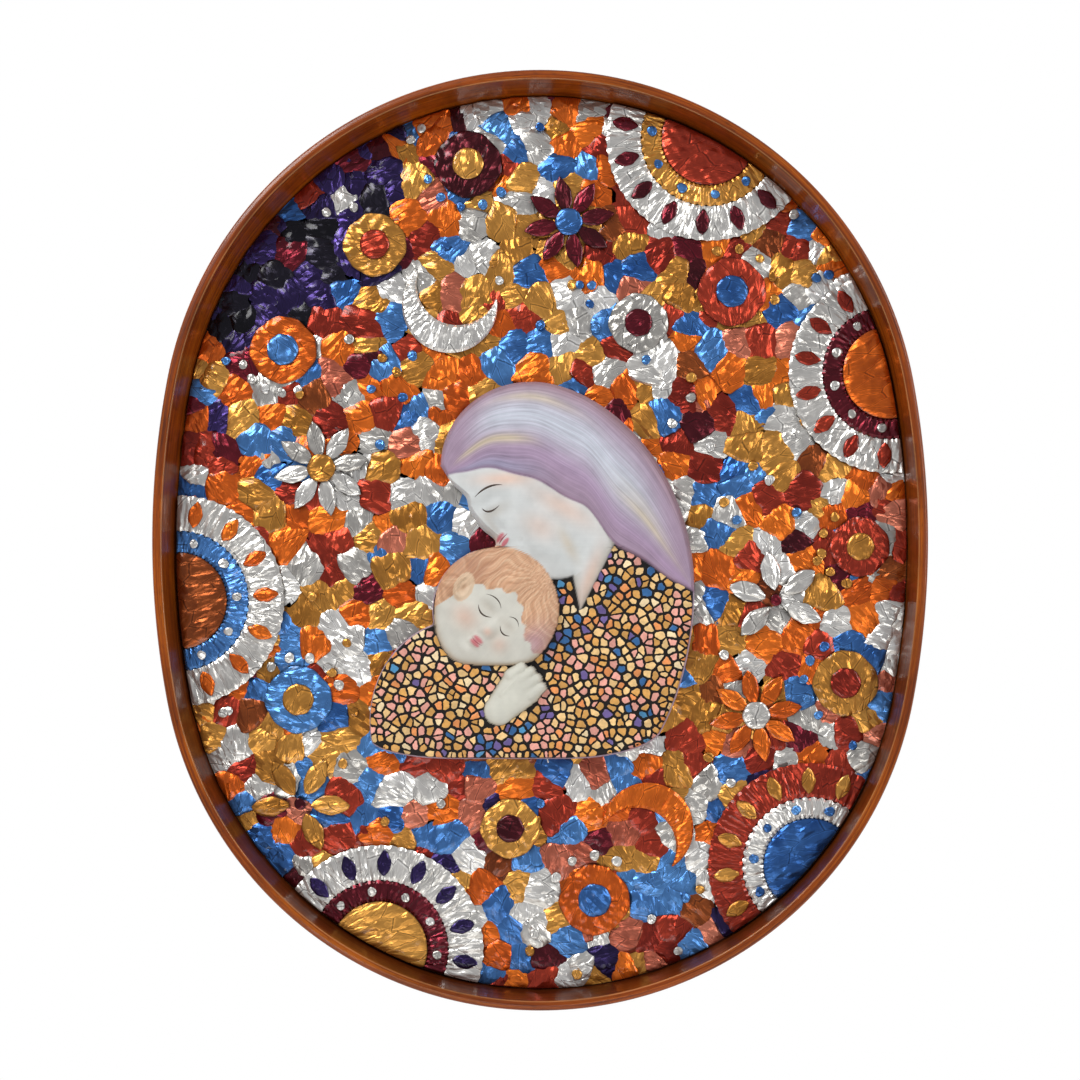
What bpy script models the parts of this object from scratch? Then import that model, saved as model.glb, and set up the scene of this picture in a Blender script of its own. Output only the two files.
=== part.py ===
"""Oval wall panel: a mosaic of crumpled foil round a carved mother and child, in a deep wooden frame.

X is right and Z is up, seen from the front.  The wall plane is y = 0 and the front faces -Y.
A depth is a distance from the wall plane towards the viewer, so a point's y is minus its depth.
"""
import math
import random

import bmesh
import bpy
import numpy as np

# Outline: an oval of four arcs, two end arcs above each other and two flat side arcs
END_ARC_RADIUS = 0.230
ARC_CENTRE_SPACING = 0.110
SIDE_ARC_HALF_ANGLE = 10.6

# Frame moulding, back board and the gap that keeps every piece clear of the next
FRAME_WIDTH = 0.009
FRAME_FACE_WIDTH = 0.0060
FRAME_DEPTH = 0.030
FRAME_OUTER_ROUNDING = 0.0022
FRAME_INNER_ROUNDING = 0.0010
REBATE_WIDTH = 0.004
BOARD_THICKNESS = 0.005
FIT_GAP = 0.0003
RIM_CLEARANCE = 0.0009

# Foil bed: glue ground with flat foil flakes at several heights
GROUND_THICKNESS = 0.0012
FLAKE_LOWEST = 0.0008
FLAKE_STEP = 0.0005
FLAKE_LEVELS = 4
FLAKE_SPACING = 0.0240
FLAKE_JITTER = 0.30

# Foil ornaments that lie on the bed
ORNAMENT_THICKNESS = 0.0020
ORNAMENT_EDGE = 0.0008
ORNAMENT_GAP = 0.0007
RAISED_THICKNESS = 0.0015
PETAL_RELIEF = 0.0009
SUN_CORE_SHARE = 0.46
SUN_RING_SHARE = 0.66
SUN_RAYS = 7
ROUNDEL_CORE_SHARE = 0.46
DAISY_PETALS = 8
DAISY_CORE_SHARE = 0.30
SPRAY_LEAVES = 5
CRESCENT_BITE = 0.86

# Carved group; the centre of the child's head is given as shares of the group's height
CHILD_HEAD = (-0.099, 0.393)
FIGURE_HEIGHT = 0.232
FIGURE_RELIEF = 0.0180
FIGURE_OFFSET_X = -0.0051
FIGURE_OFFSET_Z = -0.0175
FIGURE_COLUMNS = 38
FIGURE_ROWS = 42

OUTLINE_STEPS = 56

# Sizes that follow from the ones above
HALF_SPACING = ARC_CENTRE_SPACING / 2
SIDE_ARC_ANGLE = math.radians(SIDE_ARC_HALF_ANGLE)
SIDE_ARC_RADIUS = END_ARC_RADIUS + HALF_SPACING / math.sin(SIDE_ARC_ANGLE)
HALF_WIDTH = END_ARC_RADIUS + HALF_SPACING * math.tan(SIDE_ARC_ANGLE / 2)
HALF_HEIGHT = END_ARC_RADIUS + HALF_SPACING
FIELD_INSET = FRAME_WIDTH + FIT_GAP
ORNAMENT_INSET = FIELD_INSET + RIM_CLEARANCE
FIELD_HALF_WIDTH = HALF_WIDTH - FIELD_INSET
FIELD_HALF_HEIGHT = HALF_HEIGHT - FIELD_INSET
BED_BACK = BOARD_THICKNESS + FIT_GAP
SEAT_DEPTH = BED_BACK + GROUND_THICKNESS + FLAKE_LOWEST + FLAKE_STEP * (FLAKE_LEVELS - 1)
ORNAMENT_BACK = SEAT_DEPTH + FIT_GAP
RAISED_BACK = ORNAMENT_BACK + ORNAMENT_THICKNESS + FIT_GAP

# Half-suns on the rim: angle of the rim's normal in degrees, radius as a share of the half width
SUNS = {
    "upper": (62, 0.268),
    "right": (13, 0.262),
    "lower": (319, 0.268),
    "bottom": (243, 0.272),
    "left": (184, 0.276),
}

# Round ornaments: centre x and z as shares of the field's half width and half height, and
# radius as a share of the half width
ROUNDELS = {
    "01": (-0.200, 0.845, 0.090),
    "02": (-0.455, 0.665, 0.085),
    "03": (-0.705, 0.430, 0.090),
    "04": (0.265, 0.490, 0.080),
    "05": (0.870, -0.010, 0.080),
    "06": (0.520, 0.560, 0.092),
    "07": (-0.663, -0.352, 0.090),
    "08": (0.145, -0.800, 0.095),
    "09": (-0.085, -0.640, 0.080),
    "10": (0.830, -0.315, 0.088),
}
DAISIES = {
    "left": (-0.600, 0.165, 0.125),
    "right": (0.586, -0.387, 0.122),
    "upper": (0.075, 0.715, 0.120),
}
SPRAYS = {
    "left": (-0.658, -0.585, 0.132, 60),
    "right": (0.640, -0.130, 0.130, 100),
}
CRESCENTS = {
    "upper": (-0.250, 0.530, 0.125, 250),
    "lower": (0.290, -0.640, 0.120, 60),
}

COLOURS = {
    "wood": ("A8621C", 0.25, 0.0),
    "board": ("8A6A45", 0.80, 0.0),
    "foil_mixed": ("B98A4A", 0.35, 0.9),
    "gold": ("C8923A", 0.35, 0.9),
    "silver": ("C9C6BC", 0.35, 0.9),
    "orange": ("E4701E", 0.35, 0.9),
    "red": ("A33A26", 0.35, 0.9),
    "maroon": ("6A1420", 0.35, 0.9),
    "blue": ("3E78BC", 0.35, 0.9),
    "copper": ("8A3E1A", 0.35, 0.9),
    "violet": ("2E1A4A", 0.35, 0.9),
    "plaster": ("DDD2C6", 0.70, 0.0),
}
SUN_COLOURS = {
    "upper": ("red", "gold", "silver"),
    "right": ("orange", "maroon", "silver"),
    "lower": ("blue", "silver", "red"),
    "bottom": ("gold", "maroon", "silver"),
    "left": ("copper", "blue", "silver"),
}
ROUNDEL_COLOURS = {
    "01": ("maroon", "gold"),
    "02": ("gold", "red"),
    "03": ("orange", "blue"),
    "04": ("silver", "maroon"),
    "05": ("red", "gold"),
    "06": ("red", "blue"),
    "07": ("blue", "gold"),
    "08": ("orange", "blue"),
    "09": ("gold", "maroon"),
    "10": ("gold", "red"),
}
DAISY_COLOURS = {"left": ("silver", "gold"), "right": ("orange", "silver"), "upper": ("maroon", "blue")}
SPRAY_COLOURS = {"left": "gold", "right": "silver"}
CRESCENT_COLOURS = {"upper": "silver", "lower": "orange"}


def linear(channel):
    """Linear value of an sRGB channel from 0 to 1."""
    return channel / 12.92 if channel <= 0.04045 else ((channel + 0.055) / 1.055) ** 2.4


def material(name):
    """Principled material with the named colour, roughness and metallic value."""
    found = bpy.data.materials.get(name)
    if found:
        return found
    code, roughness, metallic = COLOURS[name]
    made = bpy.data.materials.new(name)
    made.use_nodes = True
    shader = made.node_tree.nodes["Principled BSDF"]
    colour = [linear(int(code[place:place + 2], 16) / 255) for place in (0, 2, 4)]
    shader.inputs["Base Color"].default_value = (*colour, 1)
    shader.inputs["Roughness"].default_value = roughness
    shader.inputs["Metallic"].default_value = metallic
    return made


def add_object(name, mesh, colour, smooth_angle=None):
    """Put a bmesh in the scene as one named object and shade its round parts smooth."""
    bmesh.ops.recalc_face_normals(mesh, faces=mesh.faces)
    data = bpy.data.meshes.new(name)
    mesh.to_mesh(data)
    mesh.free()
    data.materials.append(material(colour))
    if smooth_angle is not None:
        data.shade_smooth()
        data.set_sharp_from_angle(angle=math.radians(smooth_angle))
    made = bpy.data.objects.new(name, data)
    bpy.context.scene.collection.objects.link(made)
    return made


def oval_point(angle, inset=0.0):
    """Point (x, z) of the oval moved in by inset, where the outline's normal has this angle from +X."""
    across = math.cos(angle)
    up = math.sin(angle)
    if abs(up) < math.sin(SIDE_ARC_ANGLE):
        centre = math.copysign(SIDE_ARC_RADIUS - HALF_WIDTH, across)
        radius = SIDE_ARC_RADIUS - inset
        return radius * across - centre, radius * up
    radius = END_ARC_RADIUS - inset
    return radius * across, radius * up + math.copysign(HALF_SPACING, up)


def oval_angles(count):
    """Normal angles of points spaced evenly along the oval, counter-clockwise from +X."""
    fine = np.linspace(0, math.tau, 1441)
    points = np.array([oval_point(angle) for angle in fine])
    lengths = np.concatenate(([0], np.cumsum(np.hypot(*np.diff(points, axis=0).T))))
    return np.interp(np.linspace(0, lengths[-1], count, endpoint=False), lengths, fine)


def sweep_round_oval(name, profile, colour):
    """Closed ring whose section is a closed profile of (inset, depth) points."""
    mesh = bmesh.new()
    rings = []
    for angle in oval_angles(OUTLINE_STEPS):
        ring = []
        for inset, depth in profile:
            x, z = oval_point(angle, inset)
            ring.append(mesh.verts.new((x, -depth, z)))
        rings.append(ring)
    for here, there in zip(rings, rings[1:] + rings[:1]):
        for place in range(len(profile)):
            after = (place + 1) % len(profile)
            mesh.faces.new((here[place], here[after], there[after], there[place]))
    return add_object(name, mesh, colour, 40)


def flat_piece(name, outline, back, front, colour, edge=0.0):
    """Plate with the given outline of (x, z) points between two depths, its front edge chamfered."""
    mesh = bmesh.new()
    plate = mesh.faces.new([mesh.verts.new((x, -back, z)) for x, z in outline])
    raised = bmesh.ops.extrude_face_region(mesh, geom=[plate])["geom"]
    top = next(item for item in raised if isinstance(item, bmesh.types.BMFace))
    lift = front - back - edge
    bmesh.ops.translate(mesh, verts=top.verts, vec=(0, -lift, 0))
    if edge:
        bmesh.ops.inset_region(mesh, faces=[top], thickness=edge, use_even_offset=True)
        bmesh.ops.translate(mesh, verts=top.verts, vec=(0, -edge, 0))
    return add_object(name, mesh, colour, 35)


def frame_profile():
    """Section of the moulding: rounded outer front edge, inner wall that slopes in, rebate."""
    ledge = BED_BACK
    points = [(0, 0), (0, FRAME_DEPTH - FRAME_OUTER_ROUNDING)]
    for turn in (45, 90):
        along = FRAME_OUTER_ROUNDING * (1 - math.cos(math.radians(turn)))
        below = FRAME_OUTER_ROUNDING * (1 - math.sin(math.radians(turn)))
        points.append((along, FRAME_DEPTH - below))
    points.append((FRAME_FACE_WIDTH - FRAME_INNER_ROUNDING, FRAME_DEPTH))
    points.append((FRAME_FACE_WIDTH, FRAME_DEPTH - FRAME_INNER_ROUNDING))
    points.append((FRAME_WIDTH, ledge))
    points.append((FRAME_WIDTH - REBATE_WIDTH, ledge))
    points.append((FRAME_WIDTH - REBATE_WIDTH, 0))
    return points


def oval_outline(inset):
    """Points (x, z) of the oval moved in by inset."""
    return [oval_point(angle, inset) for angle in oval_angles(OUTLINE_STEPS)]


def figure_left(height):
    """Left edge of the group at a height, all as shares of its full height.

    The sleeve, the child's head and the front of the hair are ellipses, and the mother's
    profile between the last two is a slanted line.
    """
    v = np.asarray(height, float)
    sleeve = -0.190 - 0.243 * np.sqrt(np.clip(1 - ((v - 0.100) / 0.270) ** 2, 0, 1))
    child = CHILD_HEAD[0] - 0.168 * np.sqrt(np.clip(1 - ((v - CHILD_HEAD[1]) / 0.168) ** 2, 0, 1))
    hair = -0.005 - 0.240 * np.sqrt(np.clip(1 - ((v - 0.775) / 0.225) ** 2, 0, 1))
    profile = -0.104 - 0.641 * (v - 0.556)
    head = np.where(v < 0.775, np.maximum(hair, profile), hair)
    lower = np.where(v < 0.370, np.minimum(sleeve, child), child)
    return np.where(v < 0.560, lower, head) + corner(v, 0.050)


def figure_right(height):
    """Right edge of the group: long hair over the shoulder, then the back of the garment."""
    v = np.asarray(height, float)
    over = 0.428 * np.clip(1 - ((v - 0.450) / 0.550) ** 2, 0, 1) ** 0.56
    under = 0.428 * np.sqrt(np.clip(1 - ((v - 0.450) / 0.620) ** 2, 0, 1))
    return np.where(v > 0.450, over, under) - corner(v, 0.070)


def corner(height, rise):
    """Distance by which a flat rounded corner at the hem pulls the edge in."""
    below = np.clip((rise - height) / rise, 0, 1)
    return 0.200 * (1 - np.sqrt(1 - below ** 2))


def hairline(across):
    """Height of the lower edge of the mother's hair: a hyperbola that drops behind her cheek."""
    u = np.asarray(across, float)
    fall = np.where(u > -0.110, 0.085, 0.045)
    drop = np.clip((u - 0.130) / 0.100, 0, 1)
    return (0.765 - fall * (np.sqrt(1 + ((u + 0.110) / 0.130) ** 2) - 1)
            - 0.050 * drop ** 2 * (3 - 2 * drop))


def turned(u, v, centre, angle):
    """Distances from a centre along and across a direction given in degrees."""
    cosine = math.cos(math.radians(angle))
    sine = math.sin(math.radians(angle))
    return ((u - centre[0]) * cosine + (v - centre[1]) * sine,
            (v - centre[1]) * cosine - (u - centre[0]) * sine)


def dome(u, v, centre, along, across, angle=0):
    """Height of half an ellipsoid with these radii, 1 at the middle and 0 outside."""
    p, q = turned(u, v, centre, angle)
    return np.sqrt(np.clip(1 - (p / along) ** 2 - (q / across) ** 2, 0, 1))


def swell(u, v, centre, along, across, angle=0):
    """Soft bell-shaped rise of height 1."""
    p, q = turned(u, v, centre, angle)
    return np.exp(-(p / along) ** 2 - (q / across) ** 2)


def ridge(u, v, start, end, width):
    """Rounded ridge of height 1 along a straight line."""
    run = np.subtract(end, start)
    share = np.clip(((u - start[0]) * run[0] + (v - start[1]) * run[1]) / (run @ run), 0, 1)
    distance = np.hypot(u - start[0] - share * run[0], v - start[1] - share * run[1])
    return np.exp(-(distance / width) ** 2)


def rounded(distance, width):
    """Quarter circle that rises from 0 at the edge to 1 at this distance from it."""
    share = np.clip(distance / width, 0, 1)
    return np.sqrt(1 - (1 - share) ** 2)


def edge_distance(u, v):
    """Shortest distance to the group's outline."""
    heights = 0.5 - 0.5 * np.cos(np.linspace(0, math.pi, 60))
    right = np.stack([figure_right(heights), heights], 1)
    left = np.stack([figure_left(heights), heights], 1)[::-1]
    points = np.concatenate([right, left])
    nearest = np.full(u.shape, 9.0)
    for start, end in zip(points, np.roll(points, -1, axis=0)):
        run = end - start
        length = max(run @ run, 1e-12)
        share = np.clip(((u - start[0]) * run[0] + (v - start[1]) * run[1]) / length, 0, 1)
        gap = np.hypot(u - start[0] - share * run[0], v - start[1] - share * run[1])
        nearest = np.minimum(nearest, gap)
    return nearest


def relief(u, v):
    """Height of the carved group as a share of its full relief.

    u is measured from the group's axis and v from its foot, both as shares of its height.
    Garment, neck, the mother's face, her hair, the child's head with its cap of hair and
    the hand are each a dome with a few swells and ridges, laid over each other in that order.
    """
    edge = edge_distance(u, v)
    height = (0.42 + 0.20 * swell(u, v, (0.31, 0.27), 0.13, 0.26, -8)
              + 0.18 * swell(u, v, (-0.27, 0.15), 0.17, 0.12, 28)
              + 0.12 * swell(u, v, (0.06, 0.05), 0.34, 0.07, 3)
              - 0.12 * swell(u, v, (0.10, 0.33), 0.06, 0.12, -30))

    left_of_neck = (u - 0.093) * 0.979 + (v - 0.556) * 0.202
    right_of_neck = (0.2126 - u) * 0.887 + (v - 0.5625) * 0.461
    neck = np.where(v < 0.66, np.minimum(left_of_neck, right_of_neck), -1)
    height = np.where(neck > 0, 0.46 + 0.17 * rounded(neck, 0.05), height)

    face = dome(u, v, (-0.035, 0.642), 0.222, 0.133, -35)
    front = (0.42 + 0.40 * face + 0.16 * ridge(u, v, (-0.140, 0.630), (-0.108, 0.580), 0.020)
             - 0.09 * swell(u, v, (-0.120, 0.668), 0.042, 0.022, 28)
             + 0.10 * swell(u, v, (0.030, 0.548), 0.045, 0.024, -20))
    height = np.where(face > 0, np.maximum(height, front), height)

    over = (v - hairline(u)) * 0.82
    locks = 0.035 * np.sin(over * 75 + 5 * np.sin(u * 6 + 1.0)) * rounded(edge, 0.08)
    hair = 0.50 + 0.42 * rounded(over, 0.11) * rounded(edge, 0.17) + locks
    height = np.where(over > 0, hair, height)

    head = dome(u, v, CHILD_HEAD, 0.172, 0.165, 46)
    side, crown = turned(u, v, CHILD_HEAD, -44.5)
    child = (0.46 + 0.48 * head - 0.09 * swell(side, crown, (0.060, -0.010), 0.026, 0.020)
             - 0.09 * swell(side, crown, (-0.014, -0.010), 0.028, 0.020)
             + 0.13 * ridge(side, crown, (0.028, -0.015), (0.031, -0.052), 0.016)
             + 0.07 * swell(side, crown, (0.022, -0.090), 0.026, 0.014)
             + 0.09 * swell(side, crown, (0.020, -0.125), 0.026, 0.016))
    fringe = 0.050 - 2.2 * side ** 2
    behind = -(side + 0.100) + 0.25 * (crown + 0.03)
    cap = np.maximum(crown - fringe, behind)
    child = child + np.where(cap > 0, 0.08 * rounded(cap, 0.03), 0)
    height = np.where(head > 0, np.maximum(height, child), height)

    hand = dome(u, v, (-0.0625, 0.174), 0.096, 0.058, 55)
    height = np.where(hand > 0, np.maximum(height, 0.52 + 0.27 * hand), height)
    return np.minimum(height, 0.11 + rounded(edge, 0.085))


def eased(count, strength):
    """Shares from 0 to 1 that lie closer together at both ends."""
    share = np.linspace(0, 1, count + 1)
    return share - strength * np.sin(math.tau * share) / math.tau


def make_figure():
    """Carved group: a grid stretched between its left and right edges, with a flat back."""
    rows = eased(FIGURE_ROWS, 0.15)
    columns = eased(FIGURE_COLUMNS, 0.30)
    left = figure_left(rows)[:, None]
    right = figure_right(rows)[:, None]
    u = left + (right - left) * columns[None, :]
    v = np.broadcast_to(rows[:, None], u.shape)
    x = FIGURE_OFFSET_X + u * FIGURE_HEIGHT
    z = FIGURE_OFFSET_Z + (v - 0.5) * FIGURE_HEIGHT
    depth = ORNAMENT_BACK + FIGURE_RELIEF * relief(u, v)
    mesh = bmesh.new()
    front = [[mesh.verts.new((x[i, j], -depth[i, j], z[i, j])) for j in range(u.shape[1])]
             for i in range(u.shape[0])]
    for i in range(FIGURE_ROWS):
        for j in range(FIGURE_COLUMNS):
            mesh.faces.new((front[i][j], front[i][j + 1], front[i + 1][j + 1], front[i + 1][j]))
    border = (front[0][:-1] + [row[-1] for row in front[:-1]]
              + front[-1][:0:-1] + [row[0] for row in front[:0:-1]])
    back = [mesh.verts.new((vertex.co.x, -ORNAMENT_BACK, vertex.co.z)) for vertex in border]
    for place in range(len(border)):
        after = (place + 1) % len(border)
        mesh.faces.new((border[place], back[place], back[after], border[after]))
    mesh.faces.new(back[::-1])
    return add_object("figure_group", mesh, "plaster", 30)


def under_figure(x, z, margin):
    """True where a point of the bed lies behind the carved group."""
    v = (z - FIGURE_OFFSET_Z) / FIGURE_HEIGHT + 0.5
    u = (x - FIGURE_OFFSET_X) / FIGURE_HEIGHT
    slack = margin / FIGURE_HEIGHT
    if not -slack < v < 1 + slack:
        return False
    level = min(max(v, 0), 1)
    return figure_left(level) - slack < u < figure_right(level) + slack


def sun_centre(place):
    """Point of the field's rim where a half-sun has its centre."""
    return oval_point(math.radians(SUNS[place][0]), ORNAMENT_INSET)


def placed(share):
    """Centre and radius in metres of an ornament given in shares of the field."""
    return share[0] * FIELD_HALF_WIDTH, share[1] * FIELD_HALF_HEIGHT, share[2] * HALF_WIDTH


def footprints():
    """Circles (x, z, radius) that the ornaments cover on the bed."""
    circles = [placed(item) for group in (ROUNDELS, DAISIES, SPRAYS, CRESCENTS)
               for item in group.values()]
    for place, (_, share) in SUNS.items():
        circles.append((*sun_centre(place), share * HALF_WIDTH))
    return circles


def clip(polygon, normal, limit):
    """Part of a convex polygon on the near side of the line normal . point = limit."""
    kept = []
    for here, there in zip(polygon, polygon[1:] + polygon[:1]):
        here_over = normal[0] * here[0] + normal[1] * here[1] - limit
        there_over = normal[0] * there[0] + normal[1] * there[1] - limit
        if here_over <= 0:
            kept.append(here)
        if here_over * there_over < 0:
            share = here_over / (here_over - there_over)
            kept.append((here[0] + (there[0] - here[0]) * share,
                         here[1] + (there[1] - here[1]) * share))
    return kept


def flake_cells():
    """Flakes as the cells round a shaken staggered grid of points, cut off at the rim.

    Each cell is the part of the field nearer to its own point than to any other.
    """
    dice = random.Random(11)
    rows = int(FIELD_HALF_HEIGHT / (FLAKE_SPACING * 0.87)) + 1
    columns = int(FIELD_HALF_WIDTH / FLAKE_SPACING) + 2
    sites = []
    for row in range(-rows, rows + 1):
        for column in range(-columns, columns + 1):
            shake_x = dice.uniform(-FLAKE_JITTER, FLAKE_JITTER)
            shake_z = dice.uniform(-FLAKE_JITTER, FLAKE_JITTER)
            x = (column + 0.5 * (row % 2) + shake_x) * FLAKE_SPACING
            z = (row * 0.87 + shake_z) * FLAKE_SPACING
            sites.append((x, z))
    field = oval_outline(FIELD_INSET)
    reach = FLAKE_SPACING * 3.2
    cells = []
    for site in sites:
        cell = field
        for other in sites:
            run = (other[0] - site[0], other[1] - site[1])
            length = math.hypot(*run)
            if 0 < length < reach and cell:
                middle = ((other[0] + site[0]) / 2, (other[1] + site[1]) / 2)
                cell = clip(cell, run, run[0] * middle[0] + run[1] * middle[1])
        if len(cell) > 2:
            cells.append((site, cell))
    return cells


def wall(mesh, corners, near, far, top, bottom):
    """Upright wall between two corners, with a vertex at each height that either corner has."""
    chains = []
    for key in (near, far):
        chains.append([corners[key][level] for level in sorted(corners[key])
                       if bottom <= level <= top])
    left, right = chains
    i = j = 0
    while i < len(left) - 1 or j < len(right) - 1:
        climb_left = j == len(right) - 1 or (
            i < len(left) - 1 and -left[i + 1].co.y <= -right[j + 1].co.y)
        if climb_left:
            mesh.faces.new((left[i], right[j], left[i + 1]))
            i += 1
        else:
            mesh.faces.new((left[i], right[j], right[j + 1]))
            j += 1


def make_bed():
    """Glue ground and flakes as one stepped slab; flakes under an ornament are the highest."""
    dice = random.Random(5)
    circles = footprints()
    tops = {}
    cells = []
    for (x, z), polygon in flake_cells():
        covered = under_figure(x, z, 0.004) or any(
            math.hypot(x - cx, z - cz) < radius for cx, cz, radius in circles)
        level = FLAKE_LEVELS - 1 if covered else dice.randrange(FLAKE_LEVELS)
        depth = round(BED_BACK + GROUND_THICKNESS + FLAKE_LOWEST + FLAKE_STEP * level, 7)
        keys = []
        for point in polygon:
            key = (round(point[0], 6), round(point[1], 6))
            if not keys or key != keys[-1]:
                keys.append(key)
        if keys[0] == keys[-1]:
            keys.pop()
        if len(keys) > 2:
            cells.append((keys, depth))
            for place, key in enumerate(keys):
                tops[key, keys[(place + 1) % len(keys)]] = depth
    mesh = bmesh.new()
    corners = {}
    floor = round(BED_BACK, 7)
    rim = {}
    for (near, far), depth in tops.items():
        for key in (near, far):
            corners.setdefault(key, {})[depth] = None
        if (far, near) not in tops:
            rim[near] = far
            for key in (near, far):
                corners[key][floor] = None
    for key, levels in corners.items():
        for depth in levels:
            levels[depth] = mesh.verts.new((key[0], -depth, key[1]))
    for keys, depth in cells:
        mesh.faces.new([corners[key][depth] for key in keys])
    for (near, far), depth in tops.items():
        below = tops.get((far, near), floor)
        if below < depth:
            wall(mesh, corners, near, far, depth, below)
    start = next(iter(rim))
    loop = [start]
    while rim[loop[-1]] != start:
        loop.append(rim[loop[-1]])
    mesh.faces.new([corners[key][floor] for key in loop[::-1]])
    return add_object("foil_bed", mesh, "foil_mixed")


def arc(centre, radius, start, end, steps):
    """Points on an arc, both ends included."""
    angles = np.linspace(start, end, steps + 1)
    return [(centre[0] + radius * math.cos(a), centre[1] + radius * math.sin(a)) for a in angles]


def rim_crossing(place, radius, side):
    """Normal angle of the rim point that lies this far from a half-sun's centre."""
    start = math.radians(SUNS[place][0])
    centre = sun_centre(place)
    low = 0.0
    high = math.pi / 2
    for _ in range(40):
        middle = (low + high) / 2
        point = oval_point(start + side * middle, ORNAMENT_INSET)
        if math.dist(point, centre) < radius:
            low = middle
        else:
            high = middle
    return start + side * low


def sun_arc(place, radius, steps):
    """Arc of a half-sun from rim to rim, counter-clockwise, and the two rim angles."""
    centre = sun_centre(place)
    first = rim_crossing(place, radius, 1)
    last = rim_crossing(place, radius, -1)
    ends = []
    for angle in (first, last):
        x, z = oval_point(angle, ORNAMENT_INSET)
        ends.append(math.atan2(z - centre[1], x - centre[0]))
    sweep = (ends[1] - ends[0]) % math.tau
    return arc(centre, radius, ends[0], ends[0] + sweep, steps), first, last


def sun_core(place, radius):
    """Outline of the piece of a round disc that lies inside the rim."""
    points, first, last = sun_arc(place, radius, 12)
    along = [oval_point(last + (first - last) * share / 5, ORNAMENT_INSET)
             for share in range(1, 5)]
    return points + along


def sun_band(name, place, inner, outer, steps, colour, rays):
    """Band of a half-sun between two radii; every second panel carries a raised petal."""
    near = sun_arc(place, inner, steps)[0]
    far = sun_arc(place, outer, steps)[0]
    back = ORNAMENT_BACK
    front = ORNAMENT_BACK + ORNAMENT_THICKNESS
    mesh = bmesh.new()
    levels = [[[mesh.verts.new((x, -depth, z)) for x, z in line] for line in (near, far)]
              for depth in (back, front)]
    panels = []
    for k in range(steps):
        low, high = levels
        mesh.faces.new((low[0][k], low[1][k], low[1][k + 1], low[0][k + 1]))
        mesh.faces.new((low[0][k], low[0][k + 1], high[0][k + 1], high[0][k]))
        mesh.faces.new((low[1][k], high[1][k], high[1][k + 1], low[1][k + 1]))
        panels.append(mesh.faces.new((high[0][k], high[0][k + 1], high[1][k + 1], high[1][k])))
    for k in (0, steps):
        mesh.faces.new((low[0][k], high[0][k], high[1][k], low[1][k]))
    bmesh.ops.recalc_face_normals(mesh, faces=mesh.faces)
    if rays:
        chosen = panels[1::2]
        size = (outer - inner) * 0.22
        bmesh.ops.inset_individual(mesh, faces=chosen, thickness=size)
        for face in chosen:
            bmesh.ops.translate(mesh, verts=face.verts, vec=(0, -PETAL_RELIEF, 0))
    return add_object(name, mesh, colour, 35)


def scalloped(centre, radius, lobes, depth, steps, turn=0.0):
    """Closed outline whose radius waves in by depth between its lobes."""
    points = []
    for step in range(steps):
        angle = math.tau * step / steps
        reach = radius * (1 - depth * (0.5 - 0.5 * math.cos(lobes * angle)))
        points.append((centre[0] + reach * math.cos(angle + turn),
                       centre[1] + reach * math.sin(angle + turn)))
    return points


def spray_outline(centre, radius, turn):
    """Palmette: leaves fanned over 250 degrees from a short stalk end."""
    points = []
    spread = math.radians(250)
    for leaf in range(SPRAY_LEAVES):
        middle = (leaf / (SPRAY_LEAVES - 1) - 0.5) * spread
        half = spread / (SPRAY_LEAVES - 1) / 2
        for offset, reach in ((-1, 0.24), (-0.62, 0.60), (0, 1.0), (0.62, 0.60)):
            angle = math.radians(turn) + middle + half * offset
            points.append((centre[0] + radius * reach * math.cos(angle),
                           centre[1] + radius * reach * math.sin(angle)))
    angle = math.radians(turn) + spread / 2 + half
    points.append((centre[0] + radius * 0.24 * math.cos(angle),
                   centre[1] + radius * 0.24 * math.sin(angle)))
    return points


def crescent_outline(centre, radius, turn):
    """Moon shape: an outer arc and a flatter inner arc through the same two horns."""
    facing = math.radians(turn)
    half = math.radians(118)
    horn = radius * math.sin(half)
    shift = radius * math.cos(half)
    bite = radius * CRESCENT_BITE
    offset = shift + math.sqrt(max(bite ** 2 - horn ** 2, 0)) * -1
    inner_half = math.atan2(horn, shift - offset)
    points = arc(centre, radius, facing - half, facing + half, 16)
    middle = (centre[0] + offset * math.cos(facing), centre[1] + offset * math.sin(facing))
    inner = arc(middle, bite, facing + inner_half, facing - inner_half, 10)
    return points + inner[1:-1]


def make_suns():
    for place, (_, share) in SUNS.items():
        radius = share * HALF_WIDTH
        core, ring, band = SUN_COLOURS[place]
        front = ORNAMENT_BACK + ORNAMENT_THICKNESS
        core_radius = radius * SUN_CORE_SHARE
        ring_radius = radius * SUN_RING_SHARE
        flat_piece(f"sun_{place}_core", sun_core(place, core_radius), ORNAMENT_BACK,
                   front + RAISED_THICKNESS, core, ORNAMENT_EDGE)
        sun_band(f"sun_{place}_ring", place, core_radius + ORNAMENT_GAP, ring_radius, 12,
                 ring, False)
        sun_band(f"sun_{place}_band", place, ring_radius + ORNAMENT_GAP, radius,
                 2 * SUN_RAYS + 1, band, True)


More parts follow.
